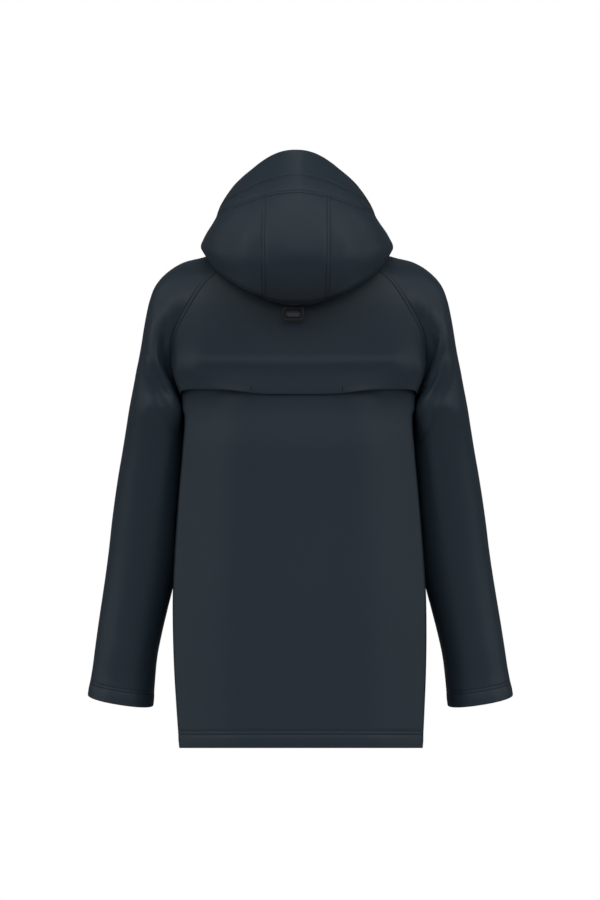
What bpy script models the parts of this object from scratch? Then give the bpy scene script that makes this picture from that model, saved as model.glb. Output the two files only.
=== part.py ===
"""A hooded raincoat of coated cloth, filled out as when worn but with nobody in it.

Metres, +Z up. The front faces -Y, the wearer's left is +X, and the origin is on the wearer's
centre line at the height of the back neck seam. Tables are in millimetres.
"""

import math

import bmesh
import bpy
import numpy as np

MM = 0.001

# Cloth and seams.
CLOTH = 1.6
SEAM_GAP = 0.3
NECK_GAP = 0.6
NECK_SHARE = 0.996
THROAT_LIFT = 1.5
BODY_SQUARENESS = 2.4
SLEEVE_SQUARENESS = 2.25

# How far from the sleeve's crown line to its roundest point a ring is at half its turn.
QUARTER_TURN = np.array([0.265, 0.735, 0.45])

# The fronts: how far each runs past the centre, and how deep and over what width the right one
# passes under the left one.
FRONT_OVERLAP = 26.0
FRONT_TUCK_DEPTH = CLOTH + 0.8
FRONT_TUCK_FROM = 31.0
FRONT_TUCK_WIDTH = 32.0

# The storm flap across the back, and the back panel tucked under it.
FLAP_CORNER_RING = 8.75
TUCK_RING = 6.75
TUCK_DEPTH = CLOTH + 2.0
TUCK_FADE = 1.8
FLAP_LIFT = 1.5
FLAP_BEND_FROM = 1.5
FLAP_SEAM_X = 160.0
FLAP_SEAM_WIDTH = 30.0
FLAP_SEAM_HOLD = 0.85
ARCH_LIFT = 4.0
ARCH_CENTRE = 107.0
ARCH_HALF_WIDTH = 34.0

# Rings from the neck seam down to the underarm. Each gives the centre back, the back raglan
# seam, the sleeve's roundest point behind, its crown line, and the centre front.
SHOULDER_COLUMNS = (
    "back_y back_z raglan_x raglan_y raglan_z bulge_x bulge_y bulge_z crown_x crown_z"
    " front_y front_z front_drop"
)
SHOULDER_RINGS = (
    (78, 0, 60, 48, 7, 72, 28, 15, 77, 20, -84, -74, 14),
    (93, -12, 96, 68, 3, 104, 42, 9, 112, 12, -95, -90, 22),
    (104, -34, 130, 81, -16, 143, 50, -6, 155, -1, -103, -106, 24),
    (111, -58, 154, 86, -37, 176, 58, -22, 192, -12, -109, -122, 22),
    (116, -86, 174, 84, -68, 207, 62, -50, 223, -38, -113, -139, 18),
    (118, -112, 190, 76, -96, 223, 64, -84, 237, -68, -116, -156, 14),
    (119, -138, 203, 63, -127, 232, 65, -120, 245, -106, -118, -173, 10),
    (120, -168, 205, 52, -160, 236, 67, -158, 252, -150, -119, -192, 6),
    (120, -201, 198, 37, -199, 236, 69, -197, 261, -195, -120, -213, 3),
    (120, -236, 187, 0, -236, 233, 70, -236, 269, -236, -120, -236, 0),
)
RAGLAN_FRONT_SHARE = 0.92

# The body's rings under the arms.
BODY_COLUMNS = "z half_width back_depth front_depth"
BODY_RINGS = (
    (-275, 185, 121, -121),
    (-350, 190, 123, -123),
    (-448, 197, 126, -125),
    (-547, 202, 129, -127),
    (-650, 201, 131, -128),
    (-784, 194, 132, -128),
)
FRONT_HEM_RISE = 3.0
FRONT_HEM_TURN = 60.0

# Below this height the coat hangs a little to the wearer's right, most at the hem.
DRIFT_FROM_Z = -300.0
DRIFT_AT_HEM = 4.0

# The hood leans a little to the wearer's left, most at the top.
HOOD_LEAN = 4.5

# The sleeve's rings under the arm, beside the body and just clear of it.
SLEEVE_COLUMNS = "z outer_x inner_x centre_y half_depth out_angle forward_angle"
SLEEVE_RINGS = (
    (-236, 269, 187, 0, 70, 0, 0),
    (-254, 272, 187, -4, 70, 1, 0),
    (-290, 277, 184, -12, 69, 3, 0),
    (-350, 287, 184, -22, 66, 5, 0),
    (-420, 297, 188, -30, 62, 7, 2),
    (-480, 304, 195, -35, 58, 8, 5),
    (-530, 311, 206, -38, 55, 8.8, 8),
    (-580, 319, 218.5, -40, 52, 8.8, 10),
    (-630, 326.5, 229, -41, 50, 8.8, 10),
    (-686, 335, 234.5, -42, 47.5, 8.8, 10),
    (-707, 339.5, 236, -42, 48.5, 8.8, 10),
)
# How far the sleeve stays from the body where it lies against the body's side.
SLEEVE_CLEAR = 1.5

# Soft folds from the shoulder down into the armpit, as (x, z) down each ridge, with how far
# the cloth stands out. The front's are lower and a little further out.
ARMPIT_FOLDS = (
    {"ridge": ((232, -112), (229, -160), (214, -194), (197, -222)), "height": 5.0, "spread": 9.0},
    {"ridge": ((238, -168), (228, -192), (210, -219)), "height": 4.0, "spread": 8.0},
    {"ridge": ((217, -128), (216, -162), (205, -190)), "height": -3.0, "spread": 7.0},
)
FRONT_FOLD_SHIFT = (3.0, -7.0)
FRONT_FOLD_SHARE = 0.75
FOLD_FACING = (1.6, -0.2)

# The storm flap's free edge: its height at each distance from the centre back.
FLAP_EDGE_X = (0, 50, 78, 105, 130, 160, 178, 186)
FLAP_EDGE_Z = (-217.5, -217.5, -215.5, -211, -209, -209.5, -214, -221)

# The hood's rings, from just over the neck seam, down and back to the low fold, then up and
# forward to the rim: the centre back, the widest point at the side, and the throat. The last
# column is how much of its height a ring still has halfway from its side to the throat.
HOOD_COLUMNS = "back_y back_z side_x side_y side_z front_x front_y front_z front_hold"
HOOD_RINGS = (
    (80, 10, 82, 5, 29, 15, -87, -66, 0.76),
    (98, 13, 99, 8, 32, 16, -89, -62, 0.76),
    (124, -22, 121, 22, 17, 17, -91, -59, 0.80),
    (142, -59, 134, 32, 10, 18, -93, -57, 0.80),
    (158, -73, 143, 38, 9, 19, -94, -56, 0.78),
    (176, -57, 149, 42, 13, 19, -95, -54, 0.74),
    (187, -15, 151, 45, 20, 20, -96, -52, 0.71),
    (183, 40, 142, 46, 38, 20, -97, -49, 0.66),
    (170, 78, 133.5, 44, 50, 21, -97, -46, 0.62),
    (152, 108, 127.5, 40, 60, 21, -98, -43, 0.58),
    (130, 131, 123, 30, 69, 22, -98, -40, 0.54),
    (106, 152, 117, 18, 77, 22, -98, -37, 0.50),
    (82, 173, 111, 5, 82, 23, -98, -33, 0.46),
)
HOOD_SEAM_RING = 10
HOOD_CORNERS = 0.85
HOOD_FRONT_CORNERS = 1.0
HOOD_BACK_HOLD = 0.54
THROAT_GAP = 14.0

# The middle panel's seams: how far round from the centre back they run on the wearer's left
# and right, at the neck, at the low fold and at the visor band.
PANEL_SEAM_RINGS = (0, 5, 11)
PANEL_SEAM_LEFT = (46, 58, 55)
PANEL_SEAM_RIGHT = (43, 51, 58)

# The hood's strap and slider, a little left of the centre back.
STRAP_X = 8.6
STRAP_WIDTH = 23.0
STRAP_THICK = 1.6
SLIDER_WIDTH = 35.8
SLIDER_HEIGHT = 23.2
SLIDER_BAR = 4.3
SLIDER_DEPTH = 3.0
SLIDER_CORNER = 5.0
SLIDER_WINDOW_CORNER = 1.6
SLIDER_DRAFT = 0.985
SLIDER_Y = 141.0
SLIDER_Z = -89.5
MIDDLE_BAR_RADIUS = 1.5

# The front's snaps.
SNAP_COUNT = 6
SNAP_TOP_Z = -112.0
SNAP_STEP = 116.0
SNAP_GAP = 0.4
SNAP_SLOPE_SPAN = 15.0
SNAP_DOME = ((7.5, 0.0), (7.5, 1.0), (6.4, 2.2), (3.6, 3.0))
SNAP_SIDES = 16

# How finely the walls are divided, and how many points a ring has before its columns are read.
FINE_COLUMNS = 61
ARC_POINTS = 120
RING_STEP = 25.0
BACK_HALF_COLUMNS = 10
COLUMN_SHIFT = 0.12
FRONT_SIDE_COLUMNS = 10
HOOD_MIDDLE_STEPS = 4
HOOD_SIDE_STEPS = 13
SLEEVE_WALL_COLUMNS = 24
SLEEVE_COLUMN_SHIFT = 0.05
SHOULDER_AT = (0, 1, 2, 2.75, 3.5, 4.25, 5, 5.7, 6.25, 6.75, 7.25, 7.75, 8.25, 8.75, 9)
BODY_ROW_STEP = 60.0
SLEEVE_ROW_STEP = 40.0
HOOD_AT = (0, 1, 2, 3, 4, 4.5, 5, 5.5, 6, 6.5, 7, 7.5, 8, 9, 10, 11, 12, 13)


def named(columns, rows):
    """Each named column of a table."""
    return dict(zip(columns.split(), np.array(rows, float).T))


SHOULDER = named(SHOULDER_COLUMNS, SHOULDER_RINGS)
BODY = named(BODY_COLUMNS, BODY_RINGS)
SLEEVE = named(SLEEVE_COLUMNS, SLEEVE_RINGS)
HOOD = named(HOOD_COLUMNS, HOOD_RINGS)
UNDERARM = len(SHOULDER_RINGS) - 1


def through(knots, values, at):
    """Values on a smooth curve through the given ones."""
    knots = np.asarray(knots, float)
    values = np.asarray(values, float)
    at = np.atleast_1d(np.asarray(at, float))
    slopes = np.gradient(values, knots, axis=0)
    k = np.clip(np.searchsorted(knots, at, side="right") - 1, 0, len(knots) - 2)
    wide = (-1,) + (1,) * (values.ndim - 1)
    step = (knots[k + 1] - knots[k]).reshape(wide)
    part = (at - knots[k]).reshape(wide) / step
    rest = 1 - part
    ends = rest**2 * (1 + 2 * part) * values[k] + part**2 * (1 + 2 * rest) * values[k + 1]
    return ends + part * rest * step * (rest * slopes[k] - part * slopes[k + 1])


def along(line, fractions):
    """Points at the given fractions of a line's length."""
    steps = np.linalg.norm(np.diff(line, axis=0), axis=1)
    lengths = np.concatenate([[0], np.cumsum(steps)])
    at = np.asarray(fractions) * lengths[-1]
    return np.stack([np.interp(at, lengths, axis) for axis in line.T], axis=1)


def eased(value):
    """0 to 1, with a soft start and end."""
    value = np.clip(value, 0, 1)
    return value * value * (3 - 2 * value)


def power(value, exponent):
    """A power that keeps its sign."""
    return np.sign(value) * np.abs(value) ** exponent


def closer_at_ends(fractions):
    """Evenly spaced fractions drawn towards -1 and 1, where the body turns."""
    return fractions + COLUMN_SHIFT * np.sin(math.pi * fractions)


def mirrored(points):
    return points * (-1, 1, 1)


def drifted(grid):
    """The coat's small lean to the wearer's right towards the hem."""
    share = np.clip((DRIFT_FROM_Z - grid[..., 2]) / (DRIFT_FROM_Z - BODY["z"][-1]), 0, 1)
    result = grid.copy()
    result[..., 0] -= DRIFT_AT_HEM * share**1.5
    return result


def body_arc(depth, centre_z, edge, fractions):
    """Half a back or a front, from its centre line to its edge, on a rounded oblong."""
    edge_x, edge_y, edge_z = edge
    share = 1 - (edge_y / depth) ** BODY_SQUARENESS
    half_width = edge_x / share ** (1 / BODY_SQUARENESS)
    turn = np.linspace(0, math.asin(math.sqrt(share)), ARC_POINTS)
    x = half_width * power(np.sin(turn), 2 / BODY_SQUARENESS)
    y = depth * power(np.cos(turn), 2 / BODY_SQUARENESS)
    z = centre_z + (edge_z - centre_z) * (x / edge_x) ** 2
    return along(np.stack([x, y, z], axis=1), fractions)


def raglan(front):
    """The raglan seam on the wearer's left, from the neck to the underarm."""
    y = SHOULDER["raglan_y"]
    z = SHOULDER["raglan_z"]
    if front:
        y = -y * RAGLAN_FRONT_SHARE
        z = z - SHOULDER["front_drop"]
    return np.stack([SHOULDER["raglan_x"], y, z], axis=1)


RAGLAN_BACK = raglan(front=False)
RAGLAN_FRONT = raglan(front=True)


def head_arc(ring, fractions):
    """The sleeve's ring over the shoulder, from the back raglan seam to the front one."""
    row = {name: column[ring] for name, column in SHOULDER.items()}
    bulge = np.array([row["bulge_x"], row["bulge_y"], row["bulge_z"]])
    crown = np.array([row["crown_x"], 0, row["crown_z"]])
    corner = crown + (bulge - crown) * QUARTER_TURN
    front = np.array([1, -1, 1])
    drop = np.array([0, 0, row["front_drop"] / 2])
    keys = np.array(
        [
            RAGLAN_BACK[ring],
            bulge,
            corner,
            crown,
            corner * front - drop / 2,
            bulge * front - drop,
            RAGLAN_FRONT[ring],
        ]
    )
    steps = np.linalg.norm(np.diff(keys, axis=0), axis=1)
    knots = np.concatenate([[0], np.cumsum(steps)])
    return along(through(knots, keys, np.linspace(0, knots[-1], ARC_POINTS)), fractions)


def tube_arc(row, fractions):
    """The sleeve's closed ring, from its inner side round the back and the outside."""
    turn = np.linspace(math.pi, -math.pi, 2 * ARC_POINTS + 1)
    half_width = (row["outer_x"] - row["inner_x"]) / 2
    centre_x = (row["outer_x"] + row["inner_x"]) / 2
    across = half_width * power(np.cos(turn), 2 / SLEEVE_SQUARENESS)
    back = row["half_depth"] * power(np.sin(turn), 2 / SLEEVE_SQUARENESS)
    out = math.tan(math.radians(row["out_angle"]))
    forward = math.tan(math.radians(row["forward_angle"]))
    z = row["z"] + across * out - back * forward
    ring = np.stack([centre_x + across, row["centre_y"] + back, z], axis=1)
    return along(ring, fractions)


def rows_down(first_z, last_z, step):
    """Evenly spaced heights that leave out the first."""
    count = round((first_z - last_z) / step)
    return np.linspace(first_z, last_z, count + 1)[1:]


def ring_places(first_z, heights):
    """A ring's place in the long list of rings, which goes on from the underarm's."""
    return UNDERARM + (first_z - np.asarray(heights)) / RING_STEP


UNDERARM_Z = SHOULDER["raglan_z"][-1]
BODY_PLACES = np.concatenate([np.arange(UNDERARM + 1), ring_places(UNDERARM_Z, BODY["z"])])
SLEEVE_PLACES = np.concatenate([np.arange(UNDERARM), ring_places(UNDERARM_Z, SLEEVE["z"])])
UNDERARM_ROW = len(SHOULDER_AT) - 1
BODY_AT = np.concatenate(
    [SHOULDER_AT, ring_places(UNDERARM_Z, rows_down(UNDERARM_Z, BODY["z"][-1], BODY_ROW_STEP))]
)
SLEEVE_AT = np.concatenate(
    [SHOULDER_AT, ring_places(UNDERARM_Z, rows_down(UNDERARM_Z, SLEEVE["z"][-1], SLEEVE_ROW_STEP))]
)


def body_edge(front, at):
    """The raglan seam and, under the arm, the side seam."""
    seam = RAGLAN_FRONT if front else RAGLAN_BACK
    upper = through(np.arange(UNDERARM + 1), seam, at[at <= UNDERARM])
    side_x = np.concatenate([SHOULDER["raglan_x"][-1:], BODY["half_width"]])
    side_z = np.concatenate([SHOULDER["raglan_z"][-1:], BODY["z"]])
    lower_at = at[at > UNDERARM]
    x = through(BODY_PLACES[UNDERARM:], side_x, lower_at)
    z = through(BODY_PLACES[UNDERARM:], side_z, lower_at)
    return np.concatenate([upper, np.stack([x, 0 * x, z], axis=1)])


def half_body(front, fractions):
    """Rings of half the back or front, each from the centre line to the seam."""
    side = "front" if front else "back"
    seam = RAGLAN_FRONT if front else RAGLAN_BACK
    rings = [
        body_arc(SHOULDER[side + "_y"][ring], SHOULDER[side + "_z"][ring], seam[ring], fractions)
        for ring in range(UNDERARM + 1)
    ]
    for depth, width, z in zip(BODY[side + "_depth"], BODY["half_width"], BODY["z"]):
        rings.append(body_arc(depth, z, (width, 0, z), fractions))
    return np.array(rings)


def body_wall(front, signed_fractions, at):
    """A grid over the back or front; each row's columns run from -1 to 1 across it."""
    fine = np.linspace(0, 1, FINE_COLUMNS)
    rings = through(BODY_PLACES, half_body(front, fine), at)
    edge = body_edge(front, at)
    rows = []
    for ring, seam, fractions in zip(rings, edge, signed_fractions):
        ring[-1] = seam
        half = np.stack([np.interp(np.abs(fractions), fine, axis) for axis in ring.T], axis=1)
        half[:, 0] *= np.sign(fractions)
        rows.append(half)
    return np.array(rows)


def back_surface(at):
    across = closer_at_ends(np.linspace(-1, 1, 2 * BACK_HALF_COLUMNS + 1))
    return body_wall(False, np.tile(across, (len(at), 1)), at)


def front_fractions(at):
    """The left front's columns: from just past the centre front to its side seam."""
    fine = np.linspace(0, 1, FINE_COLUMNS)
    rings = through(BODY_PLACES, half_body(True, fine), at)
    lengths = np.linalg.norm(np.diff(rings, axis=1), axis=2).sum(axis=1)
    rows = []
    for length in lengths:
        lap = FRONT_TUCK_FROM / length
        side = lap + (1 - lap) * closer_at_ends(np.linspace(0, 1, FRONT_SIDE_COLUMNS))
        rows.append(np.concatenate([[-FRONT_OVERLAP / length, 0], side]))
    return np.array(rows)


def front_surface(at):
    return body_wall(True, front_fractions(at), at)


def beside_body(grid):
    """The grid moved out wherever it would come into the body's side."""
    drop = -grid[..., 2].ravel()
    drops = np.concatenate([[-UNDERARM_Z], -BODY["z"]])
    widths = np.concatenate([[RAGLAN_BACK[-1][0]], BODY["half_width"]])
    half_width = through(drops, widths, drop).reshape(grid.shape[:2])
    depth = np.interp(drop, drops[1:], BODY["back_depth"]).reshape(grid.shape[:2])
    inward = np.clip(1 - np.abs(grid[..., 1] / depth) ** BODY_SQUARENESS, 0, 1)
    limit = half_width * inward ** (1 / BODY_SQUARENESS) + SLEEVE_CLEAR
    result = grid.copy()
    result[..., 0] = np.maximum(grid[..., 0], limit)
    return result


def sleeve_surface(at):
    """A grid over the left sleeve: open rings above the underarm, closed ones under it."""
    even = np.linspace(0, 1, SLEEVE_WALL_COLUMNS + 1)
    fractions = even - SLEEVE_COLUMN_SHIFT * np.sin(2 * math.pi * even)
    rings = [head_arc(ring, fractions) for ring in range(UNDERARM)]
    for ring in range(len(SLEEVE_RINGS)):
        rings.append(tube_arc({name: column[ring] for name, column in SLEEVE.items()}, fractions))
    grid = through(SLEEVE_PLACES, np.array(rings), at)
    upper = at <= UNDERARM
    grid[upper, 0] = body_edge(False, at[upper])
    grid[upper, -1] = body_edge(True, at[upper])
    grid[~upper] = beside_body(grid[~upper])
    return grid


def neck_line():
    """Half of the neck seam, from the centre back to the centre front."""
    fine = np.linspace(0, 1, FINE_COLUMNS)
    back = half_body(False, fine)[0]
    front = half_body(True, fine)[0]
    head = head_arc(0, fine)
    return np.concatenate([back, head[1:], front[::-1][1:]])


def hood_fractions(share):
    """The hood's columns on one side: the middle panel's, then the side panel's."""
    middle = np.linspace(0, share, HOOD_MIDDLE_STEPS + 1)
    side = np.linspace(share, 1, HOOD_SIDE_STEPS + 1)
    return np.concatenate([middle, side[1:]])


def line_length(line):
    return np.linalg.norm(np.diff(line, axis=0), axis=1).sum()


def hood_arc(row, fractions):
    """Half a ring of the hood, from the centre back round the side to the throat."""
    turn = np.linspace(0, math.pi / 2, ARC_POINTS)
    out = power(np.sin(turn), HOOD_CORNERS)
    back = power(np.cos(turn), HOOD_CORNERS)
    inward = power(np.cos(turn), HOOD_FRONT_CORNERS)
    forward = power(np.sin(turn), HOOD_FRONT_CORNERS)
    x_behind = row["side_x"] * out
    y_behind = row["side_y"] + (row["back_y"] - row["side_y"]) * back
    x_before = row["front_x"] + (row["side_x"] - row["front_x"]) * inward
    y_before = row["side_y"] + (row["front_y"] - row["side_y"]) * forward
    behind_z = row["side_z"] + (row["back_z"] - row["side_z"]) * HOOD_BACK_HOLD
    before_z = row["front_z"] + (row["side_z"] - row["front_z"]) * row["front_hold"]
    heights = (behind_z, row["back_z"], behind_z, row["side_z"], before_z, row["front_z"])
    z = through(np.arange(-1, 5), heights, np.linspace(0, 4, 2 * ARC_POINTS - 1))
    x = np.concatenate([x_behind, x_before[1:]])
    y = np.concatenate([y_behind, y_before[1:]])
    return along(np.stack([x, y, z], axis=1), fractions)


def hood_half(at, seam):
    """One side of the hood, with the middle panel's seam at the given distances."""
    neck = neck_line()
    fractions = hood_fractions(seam[0] / line_length(neck))
    first = along(neck, fractions * (1 - THROAT_GAP / line_length(neck)))
    first = first * (NECK_SHARE, NECK_SHARE, 1)
    first[:, 2] += NECK_GAP + THROAT_LIFT * fractions**6
    rings = [first]
    for ring in range(len(HOOD_RINGS)):
        row = {name: column[ring] for name, column in HOOD.items()}
        fine = hood_arc(row, np.linspace(0, 1, ARC_POINTS))
        rings.append(hood_arc(row, hood_fractions(seam[ring + 1] / line_length(fine))))
    return through(np.arange(len(rings)), np.array(rings), at)


def hood_surface(at):
    """A grid over the whole hood: columns from the left throat round the back to the right."""
    every = np.arange(len(HOOD_RINGS) + 1)
    left = hood_half(at, np.interp(every, PANEL_SEAM_RINGS, PANEL_SEAM_LEFT))
    right = hood_half(at, np.interp(every, PANEL_SEAM_RINGS, PANEL_SEAM_RIGHT))
    whole = np.concatenate([left[:, ::-1], mirrored(right[:, 1:])], axis=1)
    whole[:, :, 0] += HOOD_LEAN * eased(at / at[-1])[:, None]
    return whole


def grid_faces(rows, columns, closed_from=None):
    """Quads of a grid; from the given row down its first and last columns are one."""

    def corner(i, j):
        if closed_from is not None and i >= closed_from and j == columns - 1:
            j = 0
        return i * columns + j

    return [
        (corner(i, j), corner(i, j + 1), corner(i + 1, j + 1), corner(i + 1, j))
        for i in range(rows - 1)
        for j in range(columns - 1)
    ]


def halves(face, points):
    """A quad's two triangles, split from its upper inner corner to its lower outer one."""
    a, b, c, d = face

    def slant(first, second):
        run = np.abs(points[first]) - np.abs(points[second])
        return run[0] * (points[first][2] - points[second][2])

    if slant(a, c) <= slant(b, d):
        return [(a, b, c), (a, c, d)]
    return [(a, b, d), (b, c, d)]


def grid_normals(grid, closed_from=None):
    """Each point's outward direction, the mean of its faces'."""
    rows, columns = grid.shape[:2]
    points = grid.reshape(-1, 3)
    normals = np.zeros_like(points)
    for face in grid_faces(rows, columns, closed_from):
        a, b, c, d = points[list(face)]
        for index in face:
            normals[index] += np.cross(c - a, d - b)
    normals = normals.reshape(grid.shape)
    if closed_from is not None:
        normals[closed_from:, -1] = normals[closed_from:, 0]
    return normals / np.linalg.norm(normals, axis=2, keepdims=True)


def joined(first, second):
    """The mean direction of two walls along the seam between them."""
    mean = first + second
    return mean / np.linalg.norm(mean, axis=-1, keepdims=True)


def moved_in(grid, skip_sides_from=None):
    """The grid with its edges drawn in by half the seam's gap."""
    half = SEAM_GAP / 2
    result = grid.copy()

    def step(edge, inner):
        """Square to the edge, towards the next row or column."""
        run = np.gradient(edge, axis=0)
        run /= np.linalg.norm(run, axis=-1, keepdims=True)
        way = inner - edge
        way -= (way * run).sum(axis=-1, keepdims=True) * run
        return half * way / np.linalg.norm(way, axis=-1, keepdims=True)

    result[0] += step(grid[0], grid[1])
    result[-1] += step(grid[-1], grid[-2])
    last = len(grid) if skip_sides_from is None else skip_sides_from
    result[:last, 0] += step(grid[:last, 0], grid[:last, 1])
    result[:last, -1] += step(grid[:last, -1], grid[:last, -2])
    return result


def material(name, colour, roughness, metallic=0.0):
    made = bpy.data.materials.new(name)
    made.use_nodes = True
    shader = made.node_tree.nodes["Principled BSDF"]
    shader.inputs["Base Color"].default_value = (*colour, 1)
    shader.inputs["Roughness"].default_value = roughness
    shader.inputs["Metallic"].default_value = metallic
    return made


def solid(name, points, faces, surface, smooth_angle=40):
    """An object from points in millimetres."""
    mesh = bpy.data.meshes.new(name)
    mesh.from_pydata([tuple(p) for p in np.asarray(points) * MM], [], [tuple(f) for f in faces])
    mesh.validate()
    mesh.shade_smooth()
    mesh.set_sharp_from_angle(angle=math.radians(smooth_angle))
    mesh.materials.append(surface)
    made = bpy.data.objects.new(name, mesh)
    bpy.context.scene.collection.objects.link(made)
    return made


def wall(name, grid, normals, surface, closed_from=None):
    """A cloth wall: the grid as its outer face, and its inner face behind it."""
    rows, columns = grid.shape[:2]
    faces = grid_faces(rows, columns, closed_from)
    outer = moved_in(drifted(grid), closed_from)
    inner = outer - normals * CLOTH
    if closed_from is not None:
        clear = normals[closed_from, 0] * SEAM_GAP
        outer[closed_from, 0] -= clear
        inner[closed_from, 0] -= clear
    count = rows * columns
    edges = {(a, b) for face in faces for a, b in zip(face, face[1:] + face[:1])}
    points = np.concatenate([outer.reshape(-1, 3), inner.reshape(-1, 3)])
    rim = []
    for a, b in sorted(edges):
        if (b, a) not in edges:
            # Both walls at a seam split their rims alike, from the lower outer point.
            if points[a][2] < points[b][2]:
                rim += [(b, a, b + count), (a, a + count, b + count)]
            else:
                rim += [(b, a, a + count), (b, a + count, b + count)]
    over = [half for face in faces for half in halves(face, points)]
    under = [(a + count, c + count, b + count) for a, b, c in over]
    every = over + under + rim
    used = sorted({index for face in every for index in face})
    place = {index: new for new, index in enumerate(used)}
    return solid(name, points[used], [[place[i] for i in face] for face in every], surface)


def flipped(grid):
    """A left wall's grid as the right one's, still facing out."""
    return mirrored(grid)[:, ::-1]


def flap_edge_places(surface, at):
    """Where each column of the back meets the storm flap's free edge."""
    places = []
    for column in range(surface.shape[1]):
        x, z = surface[:, column, 0], surface[:, column, 2]
        guess = FLAP_CORNER_RING
        for _ in range(6):
            edge_z = np.interp(abs(np.interp(guess, at, x)), FLAP_EDGE_X, FLAP_EDGE_Z)
            guess = np.interp(-edge_z, -z, at)
        places.append(guess)
    places[0] = FLAP_CORNER_RING
    places[-1] = FLAP_CORNER_RING
    return np.array(places)


def build_back(cloth, seam_normals):
    """The yoke with its storm flap, and the back panel that runs up under it."""
    at = BODY_AT
    master = back_surface(at)
    normals = grid_normals(master)
    normals[:UNDERARM_ROW, -1] = seam_normals[:UNDERARM_ROW]
    normals[:UNDERARM_ROW, 0] = mirrored(seam_normals[:UNDERARM_ROW])
    normals[UNDERARM_ROW:, -1] = (1, 0, 0)
    normals[UNDERARM_ROW:, 0] = (-1, 0, 0)

    first = int(np.searchsorted(at, TUCK_RING))
    depth = TUCK_DEPTH * (1 - eased((at[first:] - FLAP_CORNER_RING) / TUCK_FADE))
    tucked = master[first:] - normals[first:] * depth[:, None, None]
    wall("back_panel", tucked, normals[first:], cloth)

    fine_at = np.linspace(0, UNDERARM, 8 * UNDERARM + 1)
    edge_at = flap_edge_places(back_surface(fine_at), fine_at)
    whole = at[: int(np.searchsorted(at, FLAP_CORNER_RING)) + 1]
    bend_from = TUCK_RING - FLAP_BEND_FROM
    stretch = eased((whole - bend_from) / (FLAP_CORNER_RING - bend_from))
    places = whole[:, None] + stretch[:, None] * (edge_at - FLAP_CORNER_RING)[None]
    columns = range(places.shape[1])
    yoke = np.stack([back_surface(places[:, c])[:, c] for c in columns], axis=1)
    yoke_normals = grid_normals(yoke)
    yoke_normals[:, 0] = normals[: len(whole), 0]
    yoke_normals[:, -1] = normals[: len(whole), -1]
    near_edge = eased((places - TUCK_RING) / (FLAP_CORNER_RING - TUCK_RING))
    out = np.abs(yoke[:, :, 0])
    arch = np.exp(-(((out - ARCH_CENTRE) / ARCH_HALF_WIDTH) ** 2))
    by_seam = 1 - FLAP_SEAM_HOLD * eased((out - FLAP_SEAM_X) / FLAP_SEAM_WIDTH)
    lift = near_edge * (FLAP_LIFT * by_seam + ARCH_LIFT * arch * near_edge)
    wall("back_yoke", yoke + yoke_normals * lift[:, :, None], yoke_normals, cloth)


def build_fronts(cloth, seam_normals):
    """The two fronts: the left laps over the right."""
    at = BODY_AT
    master = front_surface(at)
    rise = FRONT_HEM_RISE * eased((at - UNDERARM) / (at[-1] - UNDERARM))
    master[:, :, 2] += rise[:, None] * np.clip(-master[:, :, 1] / FRONT_HEM_TURN, 0, 1)
    left = master[:, ::-1]
    normals = grid_normals(left)
    normals[:UNDERARM_ROW, 0] = seam_normals[:UNDERARM_ROW]
    normals[UNDERARM_ROW:, 0] = (1, 0, 0)
    wall("front_left", left, normals, cloth)

    right = flipped(left)
    right_normals = flipped(normals)
    before_tuck = -FRONT_TUCK_FROM - FRONT_TUCK_WIDTH
    under = eased((right[:, :, 0] - before_tuck) / FRONT_TUCK_WIDTH)
    right = right - right_normals * (under * FRONT_TUCK_DEPTH)[:, :, None]
    wall("front_right", right, right_normals, cloth)
    return left


def distance_to_line(points, line):
    """Each point's distance to a line of straight runs."""
    nearest = np.full(points.shape[:-1], np.inf)
    for start, end in zip(line, line[1:]):
        run = end - start
        part = np.clip(((points - start) @ run) / (run @ run), 0, 1)
        nearest = np.minimum(nearest, np.linalg.norm(points - start - part[..., None] * run, axis=-1))
    return nearest


def folded(grid, normals):
    """The left sleeve with the soft folds that run into its armpit."""
    result = grid.copy()
    places = grid[..., [0, 2]]
    for fold in ARMPIT_FOLDS:
        last = len(fold["ridge"]) - 1
        ridge = through(np.arange(last + 1), fold["ridge"], np.linspace(0, last, 13))
        for side, shift, share in ((1, (0, 0), 1), (-1, FRONT_FOLD_SHIFT, FRONT_FOLD_SHARE)):
            away = distance_to_line(places, ridge + shift) / fold["spread"]
            facing = eased(side * normals[..., 1] * FOLD_FACING[0] + FOLD_FACING[1])
            height = share * fold["height"] * np.exp(-(away**2)) * facing
            height[:, [0, -1]] = 0
            result += normals * height[..., None]
    return result


def build_sleeves(cloth, grid, normals):
    wall("sleeve_left", grid, normals, cloth, UNDERARM_ROW)
    wall("sleeve_right", flipped(grid), flipped(normals), cloth, UNDERARM_ROW)


def build_hood(cloth):
    """Three panels joined by long seams, and the visor band over them."""
    at = np.array(HOOD_AT, float)
    master = hood_surface(at)
    normals = grid_normals(master)
    seam = HOOD_AT.index(HOOD_SEAM_RING)
    left_seam = HOOD_SIDE_STEPS
    right_seam = left_seam + 2 * HOOD_MIDDLE_STEPS
    panels = {
        "hood_centre": (slice(0, seam + 1), slice(left_seam, right_seam + 1)),
        "hood_side_left": (slice(0, seam + 1), slice(0, left_seam + 1)),
        "hood_side_right": (slice(0, seam + 1), slice(right_seam, None)),
        "hood_visor_band": (slice(seam, None), slice(0, None)),
    }
    for name, (rows, columns) in panels.items():
        wall(name, master[rows, columns], normals[rows, columns], cloth)


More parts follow.
